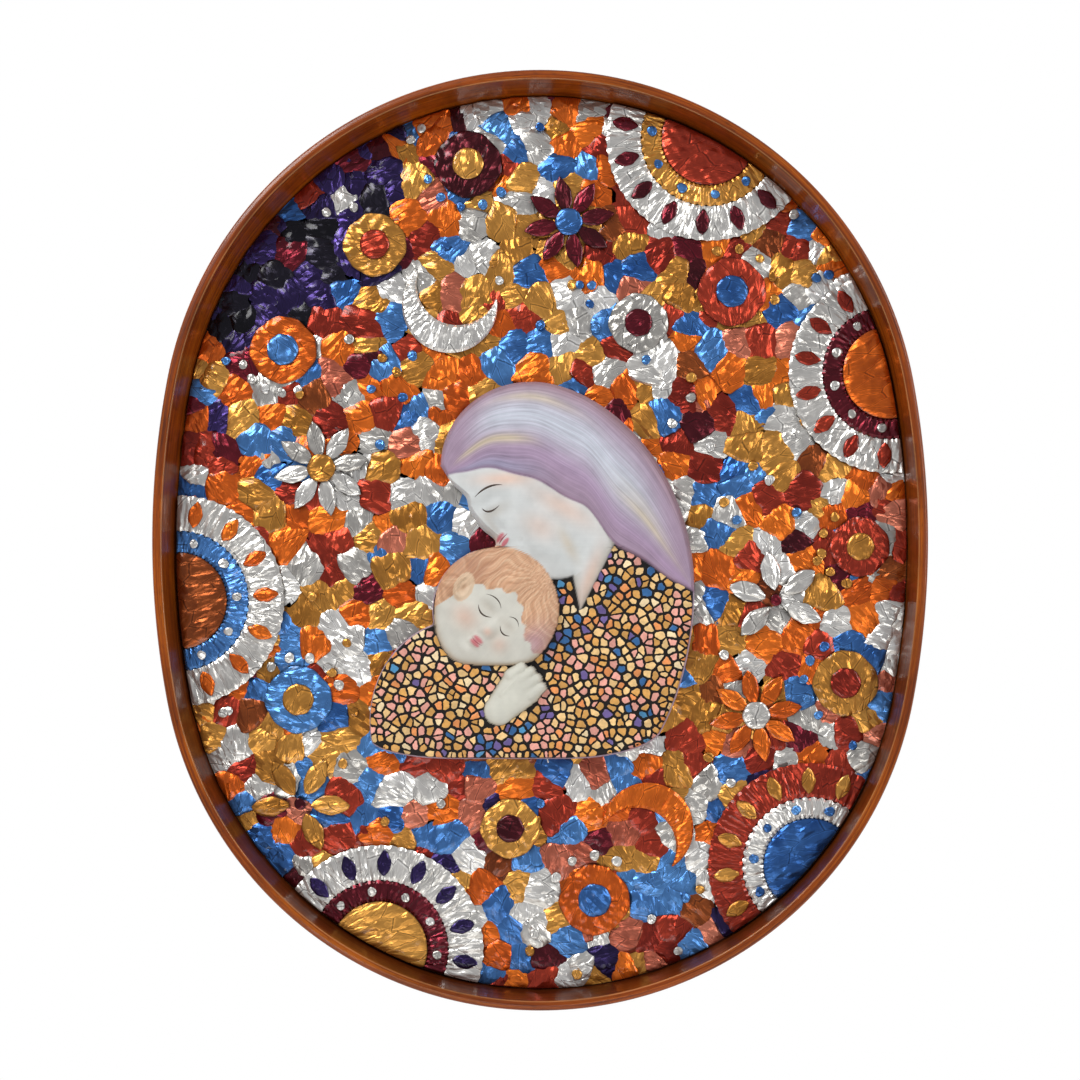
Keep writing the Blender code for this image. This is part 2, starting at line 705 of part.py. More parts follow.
def make_round_ornaments():
    front = ORNAMENT_BACK + ORNAMENT_THICKNESS
    for name, share in ROUNDELS.items():
        x, z, radius = placed(share)
        disc, core = ROUNDEL_COLOURS[name]
        flat_piece(f"roundel_{name}_disc", scalloped((x, z), radius, 4, 0.04, 16),
                   ORNAMENT_BACK, front, disc)
        flat_piece(f"roundel_{name}_core", scalloped((x, z), radius * ROUNDEL_CORE_SHARE, 6, 0, 12),
                   RAISED_BACK, RAISED_BACK + RAISED_THICKNESS, core)
    for name, share in DAISIES.items():
        x, z, radius = placed(share)
        petals, core = DAISY_COLOURS[name]
        flat_piece(f"daisy_{name}_petals",
                   scalloped((x, z), radius, DAISY_PETALS, 0.42, DAISY_PETALS * 4, 0.2),
                   ORNAMENT_BACK, front, petals)
        flat_piece(f"daisy_{name}_core", scalloped((x, z), radius * DAISY_CORE_SHARE, 6, 0, 12),
                   RAISED_BACK, RAISED_BACK + RAISED_THICKNESS, core)
    for name, share in SPRAYS.items():
        x, z, radius = placed(share)
        flat_piece(f"leaf_spray_{name}", spray_outline((x, z), radius, share[3]),
                   ORNAMENT_BACK, front, SPRAY_COLOURS[name])
    for name, share in CRESCENTS.items():
        x, z, radius = placed(share)
        flat_piece(f"crescent_{name}", crescent_outline((x, z), radius, share[3]),
                   ORNAMENT_BACK, front, CRESCENT_COLOURS[name])


for item in list(bpy.data.objects):
    bpy.data.objects.remove(item)

sweep_round_oval("frame", frame_profile(), "wood")
flat_piece("back_board", oval_outline(FRAME_WIDTH - REBATE_WIDTH + FIT_GAP), 0.0,
           BOARD_THICKNESS, "board")
make_bed()
make_suns()
make_round_ornaments()
make_figure()
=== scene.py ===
"""Looks of the oval mosaic panel: crumpled foil round a carved mother and child in a deep frame.

Metres, in the part's own frame: X right, Z up, the wall at y = 0 and the front facing -Y.
A depth is a distance from the wall towards the viewer, so a point's y is minus its depth.
"""
import math

import bpy
import numpy as np
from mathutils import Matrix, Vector


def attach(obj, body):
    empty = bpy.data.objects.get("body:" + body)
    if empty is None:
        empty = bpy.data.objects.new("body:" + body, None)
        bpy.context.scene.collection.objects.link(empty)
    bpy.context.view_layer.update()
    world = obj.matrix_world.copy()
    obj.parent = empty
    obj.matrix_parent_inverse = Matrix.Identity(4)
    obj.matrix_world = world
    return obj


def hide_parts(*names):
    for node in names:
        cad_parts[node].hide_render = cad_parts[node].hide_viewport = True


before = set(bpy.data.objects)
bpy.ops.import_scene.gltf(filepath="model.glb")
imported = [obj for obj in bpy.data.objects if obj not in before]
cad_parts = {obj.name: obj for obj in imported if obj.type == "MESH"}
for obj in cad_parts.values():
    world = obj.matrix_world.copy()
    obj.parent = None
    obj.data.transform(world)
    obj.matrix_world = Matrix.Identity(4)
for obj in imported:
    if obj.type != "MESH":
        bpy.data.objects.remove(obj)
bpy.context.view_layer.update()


# ---- Back board -------------------------------------------------------------------------
# A flat sheet of brown hardboard let into the back of the frame.  It is pressed wood fibre,
# left bare, smooth on the wall side with a faint cloudy tone and fine fibre specks.
def linear(code):
    """Linear RGBA of an sRGB hex colour."""
    channels = np.array([int(code[k:k + 2], 16) / 255 for k in (0, 2, 4)])
    curved = np.where(channels <= 0.04045, channels / 12.92, ((channels + 0.055) / 1.055) ** 2.4)
    return (*curved.tolist(), 1.0)


def wire(tree, node, inputs):
    """Set a node's inputs: another node's socket is linked, anything else is a value."""
    for name, value in inputs.items():
        if isinstance(value, bpy.types.NodeSocket):
            tree.links.new(value, node.inputs[name])
        else:
            node.inputs[name].default_value = value


def add(tree, kind, inputs=None, stops=(), **settings):
    """Add a node with its settings, its inputs and, for a colour ramp, its stops."""
    node = tree.nodes.new("ShaderNode" + kind)
    for name, value in settings.items():
        setattr(node, name, value)
    wire(tree, node, inputs or {})
    for place, (position, colour) in enumerate(stops):
        marks = node.color_ramp.elements
        stop = marks[place] if place < 2 else marks.new(position)
        stop.position = position
        stop.color = colour
    return node


def new_finish(name):
    """Material with its node tree and its Principled shader."""
    made = bpy.data.materials.new(name)
    made.use_nodes = True
    return made, made.node_tree, made.node_tree.nodes["Principled BSDF"]


def object_place(tree):
    """The surface's own position, in metres."""
    return add(tree, "TexCoord").outputs["Object"]


def noise(tree, place, scale, detail, **more):
    """Cloudy noise from 0 to 1 at a place, with this many spots to the metre."""
    return add(tree, "TexNoise", {"Vector": place, "Scale": scale, "Detail": detail,
                                  **more}).outputs["Fac"]


def ramp(tree, value, *stops):
    """Colour that runs through the stops as the value rises."""
    return add(tree, "ValToRGB", {"Fac": value}, stops).outputs["Color"]


def bumps(tree, height, strength, distance):
    """Normal of a surface with this height, which counts in distances."""
    return add(tree, "Bump", {"Height": height, "Strength": strength,
                              "Distance": distance}).outputs["Normal"]


def bare_hardboard():
    """Pressed wood fibre: brown, dull, with 0.5 mm fibre specks in a cloudy tone."""
    made, tree, shader = new_finish("bare_hardboard")
    place = object_place(tree)
    specks = noise(tree, place, 1900.0, 2.0)
    mixed = add(tree, "Mix", {"Factor": 0.45, "A": noise(tree, place, 14.0, 3.0), "B": specks})
    wire(tree, shader, {
        "Base Color": ramp(tree, mixed.outputs["Result"], (0.35, linear("5E4126")),
                           (0.65, linear("8A6844"))),
        "Normal": bumps(tree, specks, 0.25, 0.0003), "Roughness": 0.82})
    return made


def dress(node, finish):
    """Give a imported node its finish."""
    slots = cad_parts[node].data.materials
    slots.clear()
    slots.append(finish)


dress("back_board", bare_hardboard())


# ---- Frame ------------------------------------------------------------------------------
# A thin hardwood strip bent round the oval, 30 mm deep, 6 mm wide at the front and 9 mm at
# the bed, with the grain along the rim.  It is stained orange brown and varnished, so its
# sloping inner wall mirrors the foil.
END_ARC_RADIUS = 0.230
HALF_SPACING = 0.055
SIDE_ARC_ANGLE = math.radians(10.6)
SIDE_ARC_RADIUS = END_ARC_RADIUS + HALF_SPACING / math.sin(SIDE_ARC_ANGLE)
HALF_WIDTH = END_ARC_RADIUS + HALF_SPACING * math.tan(SIDE_ARC_ANGLE / 2)
FRAME_WIDTH = 0.009
FRAME_FACE_WIDTH = 0.0060
FRAME_DEPTH = 0.030
FRAME_OUTER_ROUNDING = 0.0022
FRAME_INNER_ROUNDING = 0.0010
REBATE_WIDTH = 0.004
BED_BACK = 0.0053
RIM_STEPS = 320
WALL_POINTS = slice(2, 10)
ARRIS_POINTS = slice(11, 14)
# Share of the pale painted highlight on the inner arris.
ARRIS_HIGHLIGHT = 0.32


def oval(angle, inset):
    """Points of the rim moved in by inset, where its normal has these angles from +X.

    Near the sides the point lies on a flat arc about a centre beyond the middle, elsewhere
    on an end arc about a centre above or below the middle.
    """
    across = np.cos(angle)
    up = np.sin(angle)
    side = np.abs(up) < math.sin(SIDE_ARC_ANGLE)
    radius = np.where(side, SIDE_ARC_RADIUS, END_ARC_RADIUS) - inset
    x = radius * across - np.where(side, np.sign(across) * (SIDE_ARC_RADIUS - HALF_WIDTH), 0)
    z = radius * up + np.where(side, 0, np.sign(up) * HALF_SPACING)
    return x, z


def even_angles(count):
    """Normal angles of points spaced evenly along the rim, by its summed chord lengths."""
    fine = np.linspace(0, math.tau, 2881)
    x, z = oval(fine, 0.0)
    run = np.concatenate(([0], np.cumsum(np.hypot(np.diff(x), np.diff(z)))))
    return np.interp(np.linspace(0, run[-1], count, endpoint=False), run, fine), run[-1] / count


def quads(rows, columns, wrap_rows=False, wrap_columns=False):
    """Corner numbers of the faces of a grid of points, row by row."""
    i = np.arange(rows if wrap_rows else rows - 1)[:, None]
    j = np.arange(columns if wrap_columns else columns - 1)[None, :]
    after = (i + 1) % rows
    beside = (j + 1) % columns
    return np.stack([i * columns + j, i * columns + beside, after * columns + beside,
                     after * columns + j], axis=-1).reshape(-1, 4)


def mesh_piece(name, points, faces, finish, replaced=(), pattern=None, marks=None,
               crease=None):
    """Mesh object from a point array and a list of face arrays.

    pattern is a UV pair per point, marks are named values or colours per point, and crease
    is the angle in degrees above which an edge stays sharp.
    """
    corners = np.concatenate([np.asarray(face).ravel() for face in faces]).astype(np.int32)
    sizes = np.concatenate([np.full(len(face), np.shape(face)[1]) for face in faces])
    starts = np.concatenate(([0], np.cumsum(sizes)[:-1])).astype(np.int32)
    mesh = bpy.data.meshes.new(name)
    mesh.vertices.add(len(points))
    mesh.vertices.foreach_set("co", np.ascontiguousarray(points, np.float32).ravel())
    mesh.loops.add(len(corners))
    mesh.loops.foreach_set("vertex_index", corners)
    mesh.polygons.add(len(sizes))
    mesh.polygons.foreach_set("loop_start", starts)
    mesh.update(calc_edges=True)
    if pattern is not None:
        layer = mesh.uv_layers.new(name="pattern")
        layer.data.foreach_set("uv", np.asarray(pattern, np.float32)[corners].ravel())
    for key, values in (marks or {}).items():
        kind = "FLOAT" if np.ndim(values) == 1 else "FLOAT_COLOR"
        field = "value" if kind == "FLOAT" else "color"
        stored = mesh.attributes.new(key, kind, "POINT")
        stored.data.foreach_set(field, np.asarray(values, np.float32).ravel())
    mesh.materials.append(finish)
    mesh.shade_smooth()
    if crease is not None:
        mesh.set_sharp_from_angle(angle=math.radians(crease))
    piece = bpy.data.objects.new(name, mesh)
    bpy.context.scene.collection.objects.link(piece)
    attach(piece, "root")
    if replaced:
        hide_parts(*replaced)


def compass(angle):
    """Directions of length 1 at these angles from the first axis."""
    return np.stack([np.cos(angle), np.sin(angle)], 1)


def quarter(centre, radius, start, end, steps):
    """Profile points on a circle about a centre between two angles in degrees."""
    return np.array(centre) + radius * compass(np.radians(np.linspace(start, end, steps)))


def frame_profile():
    """Section of the strip from its inner back edge round the front to its outer back edge.

    The front face is crowned by a fifth of a millimetre between a small inner and a larger
    outer rounding.
    """
    face_depth = FRAME_DEPTH - 0.0002
    inner_centre = (FRAME_FACE_WIDTH - FRAME_INNER_ROUNDING, face_depth - FRAME_INNER_ROUNDING)
    outer_centre = (FRAME_OUTER_ROUNDING, face_depth - FRAME_OUTER_ROUNDING)
    share = np.linspace(0, 1, 9)[1:-1]
    face = np.stack([inner_centre[0] + share * (outer_centre[0] - inner_centre[0]),
                     face_depth + 0.0002 * np.sin(math.pi * share)], 1)
    climb = np.linspace(0, 0.98, 8)[:, None]
    wall = np.array([FRAME_WIDTH, BED_BACK]) + climb * np.array(
        [FRAME_FACE_WIDTH - FRAME_WIDTH, inner_centre[1] - BED_BACK])
    back = [(FRAME_WIDTH - REBATE_WIDTH, 0.0), (FRAME_WIDTH - REBATE_WIDTH, BED_BACK)]
    return np.concatenate([back, wall,
                           quarter(inner_centre, FRAME_INNER_ROUNDING, 0, 90, 6), face,
                           quarter(outer_centre, FRAME_OUTER_ROUNDING, 90, 180, 8),
                           [(0.0, 0.012), (0.0, 0.0)]])


def mark(tree, name, kind="Fac"):
    """Value, colour or vector that is stored at the points of a mesh."""
    return add(tree, "Attribute", attribute_name=name).outputs[kind]


def stretched(tree, vector, scale, turn=0.0):
    """Position turned about its third axis and multiplied along each axis."""
    return add(tree, "Mapping", {"Vector": vector, "Rotation": (0.0, 0.0, turn),
                                 "Scale": scale}).outputs["Vector"]


def mixed_colour(tree, share, first, code):
    """Colour between the first, at share 0, and the one of this code, at share 1."""
    return add(tree, "Mix", {"Factor": share, "A": first, "B": linear(code)},
               data_type="RGBA").outputs["Result"]


def in_range(tree, value, low, high, first=0.0, last=1.0):
    """Value moved evenly from the range low to high to the range first to last."""
    return add(tree, "MapRange", {"Value": value, "From Min": low, "From Max": high,
                                  "To Min": first, "To Max": last}).outputs["Result"]


def brightness(tree, colour, value):
    """Colour multiplied by a value."""
    return add(tree, "HueSaturation", {"Color": colour, "Value": value}).outputs["Color"]


def calculated(tree, operation, *values):
    """Result of an operation on up to three values."""
    return add(tree, "Math", dict(enumerate(values)), operation=operation).outputs["Value"]


def varnished_bent_wood():
    """Stained and varnished hardwood: grain 1 mm wide and 80 mm long runs along the rim,
    short dark pores lie in it, painted shade darkens the inner wall, most at the bed and
    towards the bottom, and thins the coat there, a pale painted highlight runs along the
    inner arris, and the varnish is a clear gloss coat."""
    made, tree, shader = new_finish("varnished_bent_wood")
    along = mark(tree, "grain", "Vector")
    grain = noise(tree, stretched(tree, along, (11.0, 11.0, 620.0)), 1.0, 5.0, Roughness=0.6,
                  Distortion=0.6)
    pores = noise(tree, stretched(tree, along, (170.0, 170.0, 2600.0)), 1.0, 2.0)
    clouds = noise(tree, stretched(tree, along, (22.0, 22.0, 60.0)), 1.0, 2.0)
    tone = ramp(tree, grain, (0.30, linear("5E2405")), (0.70, linear("B05C0C")),
                (0.50, linear("8E3F06")))
    pored = mixed_colour(tree, in_range(tree, pores, 0.56, 0.68, 0.0, 0.55), tone, "4A2206")
    # Pale painted highlight along the inner arris.
    arris_highlight = mixed_colour(tree, mark(tree, "arris_highlight"), pored, "D8A468")
    clouded = brightness(tree, arris_highlight, in_range(tree, clouds, 0.3, 0.7, 0.70, 1.12))
    # Painted shade on the inner wall, deepest at the bed and at the bottom; the coat is thinner
    # under it.
    wall_shade = mark(tree, "painted_shade")
    wire(tree, shader, {
        "Base Color": mixed_colour(tree, wall_shade, clouded, "300F04"), "Roughness": 0.38,
        "Normal": bumps(tree, grain, 0.12, 0.0003), "Specular IOR Level": 0.22,
        "Coat Weight": calculated(tree, "MULTIPLY_ADD", wall_shade, -0.25, 0.28),
        "Coat Roughness": 0.09})
    return made


def make_frame():
    """Carry the profile round the rim: the point at (angle, k) is oval(angle, inset k).

    The grain turns with the rim on a circle of the same length, so it has no seam, and
    across the strip it counts inset plus depth.
    """
    profile = frame_profile()
    angles, step = even_angles(RIM_STEPS)
    x, z = oval(angles[:, None], profile[None, :, 0])
    y = np.broadcast_to(-profile[None, :, 1], x.shape)
    points = np.stack([x, y, z], -1).reshape(-1, 3)
    turn = np.arange(RIM_STEPS)[:, None] * math.tau / RIM_STEPS
    radius = RIM_STEPS * step / math.tau
    grain = np.stack(np.broadcast_arrays(radius * np.cos(turn), radius * np.sin(turn),
                                         profile.sum(axis=1)[None, :], 1.0), -1)
    # A pale painted highlight on the points of the inner arris.
    arris_highlight = np.zeros(x.shape)
    arris_highlight[:, ARRIS_POINTS] = ARRIS_HIGHLIGHT
    # Painted shade on the inner wall: deepest at the bed, less towards the face, and darker
    # towards the bottom.
    painted_shade = np.zeros(x.shape)
    low = 0.5 - 0.5 * z[:, :1] / z.max()
    painted_shade[:, WALL_POINTS] = np.linspace(0.95, 0.55, 8) * (0.15 + 0.85 * low)
    mesh_piece("frame_strip", points, [quads(*x.shape, True, True)], varnished_bent_wood(),
               ["frame"],
               marks={"grain": grain, "arris_highlight": arris_highlight.ravel(), "painted_shade": painted_shade.ravel()},
               crease=35)


make_frame()


# ---- Foil bed ---------------------------------------------------------------------------
# Nearly eight hundred torn pieces of lacquered aluminium foil, 14 to 20 mm across, are
# folded, crumpled and pressed edge over edge into a dark glue ground on the board.
GROUND_TOP = 0.0060
GROUND_CORNERS = 160
FLAKE_PITCH = 0.0175
FIELD_INSET = 0.0093
FIELD_HALF_WIDTH = HALF_WIDTH - FIELD_INSET
FIELD_HALF_HEIGHT = END_ARC_RADIUS + HALF_SPACING - FIELD_INSET
FLAKE_SPOKES = 28
FLAKE_RINGS = np.array([0.31, 0.59, 0.82, 0.95, 1.0])
FLAKE_DEPTHS = (0.0073, 0.0089)
LOWER_FLAKE_SPACING = 0.0062
LOWER_FLAKE_REACH = 0.0092
LOWER_FLAKE_DEPTH = 0.0076
FOILS = {
    "gold": ("A4681E", "DEA04A", 0.33),
    "silver": ("AEAAA2", "F0EEE8", 0.31),
    "orange": ("C04C0A", "F27A20", 0.34),
    "red": ("7A1C10", "B23C24", 0.32),
    "maroon": ("38060F", "701424", 0.28),
    "blue": ("1D4E93", "5B93D2", 0.31),
    "violet": ("180C34", "382862", 0.28),
    "black": ("0A0910", "1E1A28", 0.26),
    "copper": ("6A2C0E", "A2521F", 0.31),
    "salmon": ("A84E38", "DC8468", 0.34),
}


def matt_glue_ground():
    """Dark brown glue and paint between the foil pieces, dull and slightly lumpy."""
    made, tree, shader = new_finish("matt_glue_ground")
    lumps = noise(tree, object_place(tree), 700.0, 3.0)
    wire(tree, shader, {
        "Base Color": ramp(tree, lumps, (0.3, linear("0A0605")), (0.7, linear("20150E"))),
        "Roughness": 0.6, "Specular IOR Level": 0.2,
        "Normal": bumps(tree, lumps, 0.5, 0.0008)})
    return made


def crumpled_foil(name):
    """Lacquered aluminium foil, folded and flattened: a satin coloured metal whose flat
    facets meet in sharp creases, white along the ridges, with painted shade in the valleys
    and a painted highlight just beside them.

    Roof-shaped folds 7 mm wide and 20 mm long lie along the piece's own pattern, with
    creases 4 mm apart and a faint crinkle over them; tone makes one piece darker than the
    next, rim darkens its edge as painted shade where it meets the pieces around it, and the
    rest of the piece is brightened; the lacquer is a thin clear coat.
    """
    dark, light, roughness = FOILS[name]
    made, tree, shader = new_finish("crumpled_foil_" + name)
    place = add(tree, "UVMap", uv_map="pattern").outputs["UV"]
    wander = add(tree, "TexNoise", {"Vector": place, "Scale": 120.0, "Detail": 2.0})
    bent = add(tree, "VectorMath", {0: wander.outputs["Color"], 1: (0.0030, 0.0030, 0.0)},
               operation="MULTIPLY").outputs["Vector"]
    warped = add(tree, "VectorMath", {0: place, 1: bent}, operation="ADD").outputs["Vector"]
    folds, creases = (
        add(tree, "TexVoronoi", {"Vector": stretched(tree, warped, scale, turn), "Scale": 1.0},
            feature="DISTANCE_TO_EDGE", voronoi_dimensions="2D").outputs["Distance"]
        for scale, turn in (((45.0, 140.0, 1.0), 0.0), ((80.0, 240.0, 1.0), 0.5)))
    crinkle = noise(tree, place, 520.0, 2.0)
    height = 0.0
    for layer, weight in ((creases, 0.38), (folds, 1.25), (crinkle, 0.06)):
        height = calculated(tree, "MULTIPLY_ADD", layer, weight, height)
    stain = noise(tree, place, 70.0, 2.0)
    share = in_range(tree, calculated(tree, "MULTIPLY_ADD", stain, 0.6, mark(tree, "tone")),
                     0.15, 1.10)
    # Painted shade along the fold valleys, with a painted highlight just beside them.
    crease_shade_and_highlight = ramp(tree, folds, (0.0, (0.18, 0.18, 0.18, 1)), (0.085, (0.70, 0.70, 0.70, 1)),
                  (0.020, (0.66, 0.66, 0.66, 1)), (0.038, (1.0, 1.0, 1.0, 1)))
    # Painted shade: the edge of each piece is darkened where it meets the pieces around it, and
    # the rest is brightened.
    edge_shade = calculated(tree, "MULTIPLY_ADD", mark(tree, "rim"), -0.85, 1.42)
    wire(tree, shader, {
        "Base Color": brightness(tree, mixed_colour(tree, share, linear(dark), light),
                                 calculated(tree, "MULTIPLY", crease_shade_and_highlight, edge_shade)),
        "Metallic": 0.80,
        "Roughness": in_range(tree, stain, 0.3, 0.7, roughness - 0.05, roughness + 0.08),
        "Normal": bumps(tree, height, 1.0, 0.00135), "Coat Weight": 0.35,
        "Coat Roughness": 0.14})
    return made


finishes = {name: crumpled_foil(name) for name in FOILS}


def zigzag(phase):
    """Triangle wave from -1 to 1 with period 1."""
    return 4 * np.abs(phase - np.floor(phase + 0.5)) - 1


def draw(dice, like, low, high):
    """One random number for each piece, ready to spread over its points."""
    return dice.uniform(low, high, (like.shape[0], 1))


def crumple(a, b, dice):
    """Height of crumpled foil for points (a, b) of each piece, one row per piece.

    It is a zigzag of pleats across b whose line wanders along a, plus a slanted zigzag
    of wider folds, less the highest of seven randomly tilted planes, which gives flat facets.
    """
    wander = 0.28 * np.sin(a / draw(dice, a, 0.0022, 0.0050) + draw(dice, a, 0, 6.3))
    pleats = zigzag(b / draw(dice, a, 0.0030, 0.0056) + wander + draw(dice, a, 0, 1))
    slant = draw(dice, a, 0.5, 2.6)
    wide = zigzag((a * np.cos(slant) + b * np.sin(slant)) / draw(dice, a, 0.007, 0.013)
                  + draw(dice, a, 0, 1))
    heading = dice.uniform(0, math.tau, (a.shape[0], 7, 1))
    lift = dice.uniform(-0.0026, 0.0026, (a.shape[0], 7, 1))
    planes = a[:, None] * np.cos(heading) + b[:, None] * np.sin(heading) + lift
    return (0.00016 * draw(dice, a, 0.5, 1.3) * pleats + 0.00034 * wide
            - 0.14 * (planes.max(axis=1) - 0.004))


def reach_inside(centres, angle, limit, inside):
    """Distance from each centre along each angle to where inside(x, z) ends, by halving."""
    cosine = np.cos(angle)
    sine = np.sin(angle)
    low = np.zeros(np.broadcast_shapes(centres[:, :1].shape, angle.shape))
    high = low + limit
    for _ in range(14):
        middle = (low + high) / 2
        within = inside(centres[:, :1] + middle * cosine, centres[:, 1:] + middle * sine)
        low = np.where(within, middle, low)
        high = np.where(within, high, middle)
    return low


def in_field(x, z, inset):
    """True inside the rim moved in by inset: nearer to the arc's centre than its radius."""
    side = np.abs(z) < (SIDE_ARC_RADIUS - inset) * math.sin(SIDE_ARC_ANGLE)
    end = np.hypot(x, np.abs(z) - HALF_SPACING) < END_ARC_RADIUS - inset
    flat = np.hypot(np.abs(x) + SIDE_ARC_RADIUS - HALF_WIDTH, z) < SIDE_ARC_RADIUS - inset
    return np.where(side, flat, end)


def in_flake_field(x, z):
    """True where a flake may lie: a little inside the rim of the bed."""
    return in_field(x, z, FIELD_INSET + 0.0002)


def on_field(share_x, share_z):
    """Point of the bed from its shares of the half width and the half height."""
    return np.array([share_x * FIELD_HALF_WIDTH, share_z * FIELD_HALF_HEIGHT])


def spoke_angles(count):
    """Angles spread evenly round a full turn."""
    return np.linspace(0, math.tau, count, endpoint=False)


def repeated(parts, count, step):
    """Face arrays of one piece, repeated for all pieces, whose points are a step apart."""
    shift = (np.arange(count) * step)[:, None, None]
    return [(part[None] + shift).reshape(-1, part.shape[1]) for part in parts]


def patch_faces(count, spokes, rings):
    """Faces of round patches: a fan about the middle, a sheet and one face under it."""
    k = np.arange(spokes)
    fan = np.stack([1 + k, np.zeros(spokes, int), 1 + (k + 1) % spokes], 1)
    sheet = quads(rings, spokes, False, True)[:, ::-1] + 1
    under = (1 + (rings - 1) * spokes + k)[None, :]
    return repeated((fan, sheet, under), count, 1 + rings * spokes)


def foil_patches(name, colour, centres, reach, fold, base, dice, foot, replaced,
                 form=crumple, roll=0.0010, tilt=0.06, rings=FLAKE_RINGS):
    """Foil pieces as round patches: a point at share s of the reach in each direction, whose
    pleats run along a and spread across b like a fan.

    Its height is the base, a small tilt and the form of the folds, less a roll of the edge
    that grows with the eighth power of s; the edge drops to the foot, where a face closes it.
    """
    count, spokes = reach.shape
    angle = spoke_angles(spokes)[None, None, :]
    share = np.concatenate(([0.0], rings))[None, :, None]
    dx = share * reach[:, None, :] * np.cos(angle)
    dz = share * reach[:, None, :] * np.sin(angle)
    turn = np.broadcast_to(fold, count)[:, None, None]
    a = dx * np.cos(turn) + dz * np.sin(turn)
    fan = dice.uniform(-0.45, 0.45, (count, 1, 1)) / reach.max(axis=1)[:, None, None]
    b = (dz * np.cos(turn) - dx * np.sin(turn)) / (1 + fan * a)
    flat_a = a.reshape(count, -1)
    flat_b = b.reshape(count, -1)
    lean = dice.uniform(-tilt, tilt, (2, count, 1))
    height = (form(flat_a, flat_b, dice) + lean[0] * flat_a + lean[1] * flat_b).reshape(a.shape)
    depth = np.maximum(np.broadcast_to(base, count)[:, None, None] + height - roll * share ** 8,
                       foot + 0.0002)
    body = np.stack([centres[:, 0, None, None] + dx, -depth, centres[:, 1, None, None] + dz], -1)
    hem = body[:, -1].copy()
    hem[..., 1] = -foot
    points = np.concatenate([body[:, :1, 0], body[:, 1:].reshape(count, -1, 3), hem], axis=1)
    per_piece = points.shape[1]
    local = np.stack([a, b], -1)
    pattern = np.concatenate([local[:, :1, 0], local[:, 1:].reshape(count, -1, 2),
                              local[:, -1]], axis=1) + dice.uniform(0, 4, (count, 1, 2))
    tone = np.repeat(dice.uniform(0, 0.75, count), per_piece)
    # rim marks the outer ring and the hem, which the foil finish darkens as painted shade.
    rim = np.tile(np.arange(per_piece) > (len(rings) - 1) * spokes, count)
    mesh_piece(name, points.reshape(-1, 3), patch_faces(count, spokes, len(rings) + 1),
               finishes[colour], replaced, pattern.reshape(-1, 2),
               {"tone": tone, "rim": rim}, crease=22)


def shaken_grid(rows, columns, pitch, rise, shake, dice):
    """Staggered grid over these row and column numbers, each point shaken by a share of the
    pitch; the rows are rise pitches apart."""
    row, column = np.meshgrid(rows, columns, indexing="ij")
    grid = np.stack([column + 0.5 * (row % 2), row * rise], -1).reshape(-1, 2)
    return (grid + dice.uniform(-shake, shake, grid.shape)) * pitch


def flake_sites(pitch, dice):
    """Points of a shaken grid that reaches past the whole field."""
    rows = int(FIELD_HALF_HEIGHT / (pitch * 0.87)) + 2
    columns = int(FIELD_HALF_WIDTH / pitch) + 2
    return shaken_grid(np.arange(-rows, rows + 1), np.arange(-columns, columns + 1), pitch,
                       0.87, 0.34, dice)


def cell_reach(sites, wanted, angle):
    """Distance from each wanted site to the edge of its cell along each angle.

    The edge is the nearest of the lines half way to the neighbours, with rounded corners:
    the sum of the inverse distances to the 60th power, to the inverse power.
    """
    run = sites[None, :, :] - sites[wanted][:, None, :]
    length = np.hypot(run[..., 0], run[..., 1])
    length[length == 0] = 9.0
    near = np.argsort(length, axis=1)[:, :14]
    picked = np.take_along_axis(length, near, 1)
    heading = np.arctan2(np.take_along_axis(run[..., 1], near, 1),
                         np.take_along_axis(run[..., 0], near, 1))
    towards = np.clip(np.cos(angle[None, None, :] - heading[..., None]), 1e-3, None)
    return ((towards / (picked[..., None] / 2)) ** 60.0).sum(axis=1) ** (-1 / 60.0)


def torn_edge(angle, fold, dice, size):
    """Uneven outline: a few slow zigzags, and teeth where the pleats run out at the two ends."""
    count = len(fold)
    wave = 0
    for times in (2, 3, 5):
        phase = dice.uniform(0, 1, (count, 1))
        wave = wave + dice.uniform(0.2, 1.0, (count, 1)) / times * zigzag(
            times * angle / math.tau + phase)
    ends = np.abs(np.cos(angle - fold[:, None])) ** 2
    teeth = zigzag(angle * dice.uniform(2.4, 3.4, (count, 1)) + dice.uniform(0, 1, (count, 1)))
    return 1 + size * (0.10 * wave + 0.075 * ends * teeth)


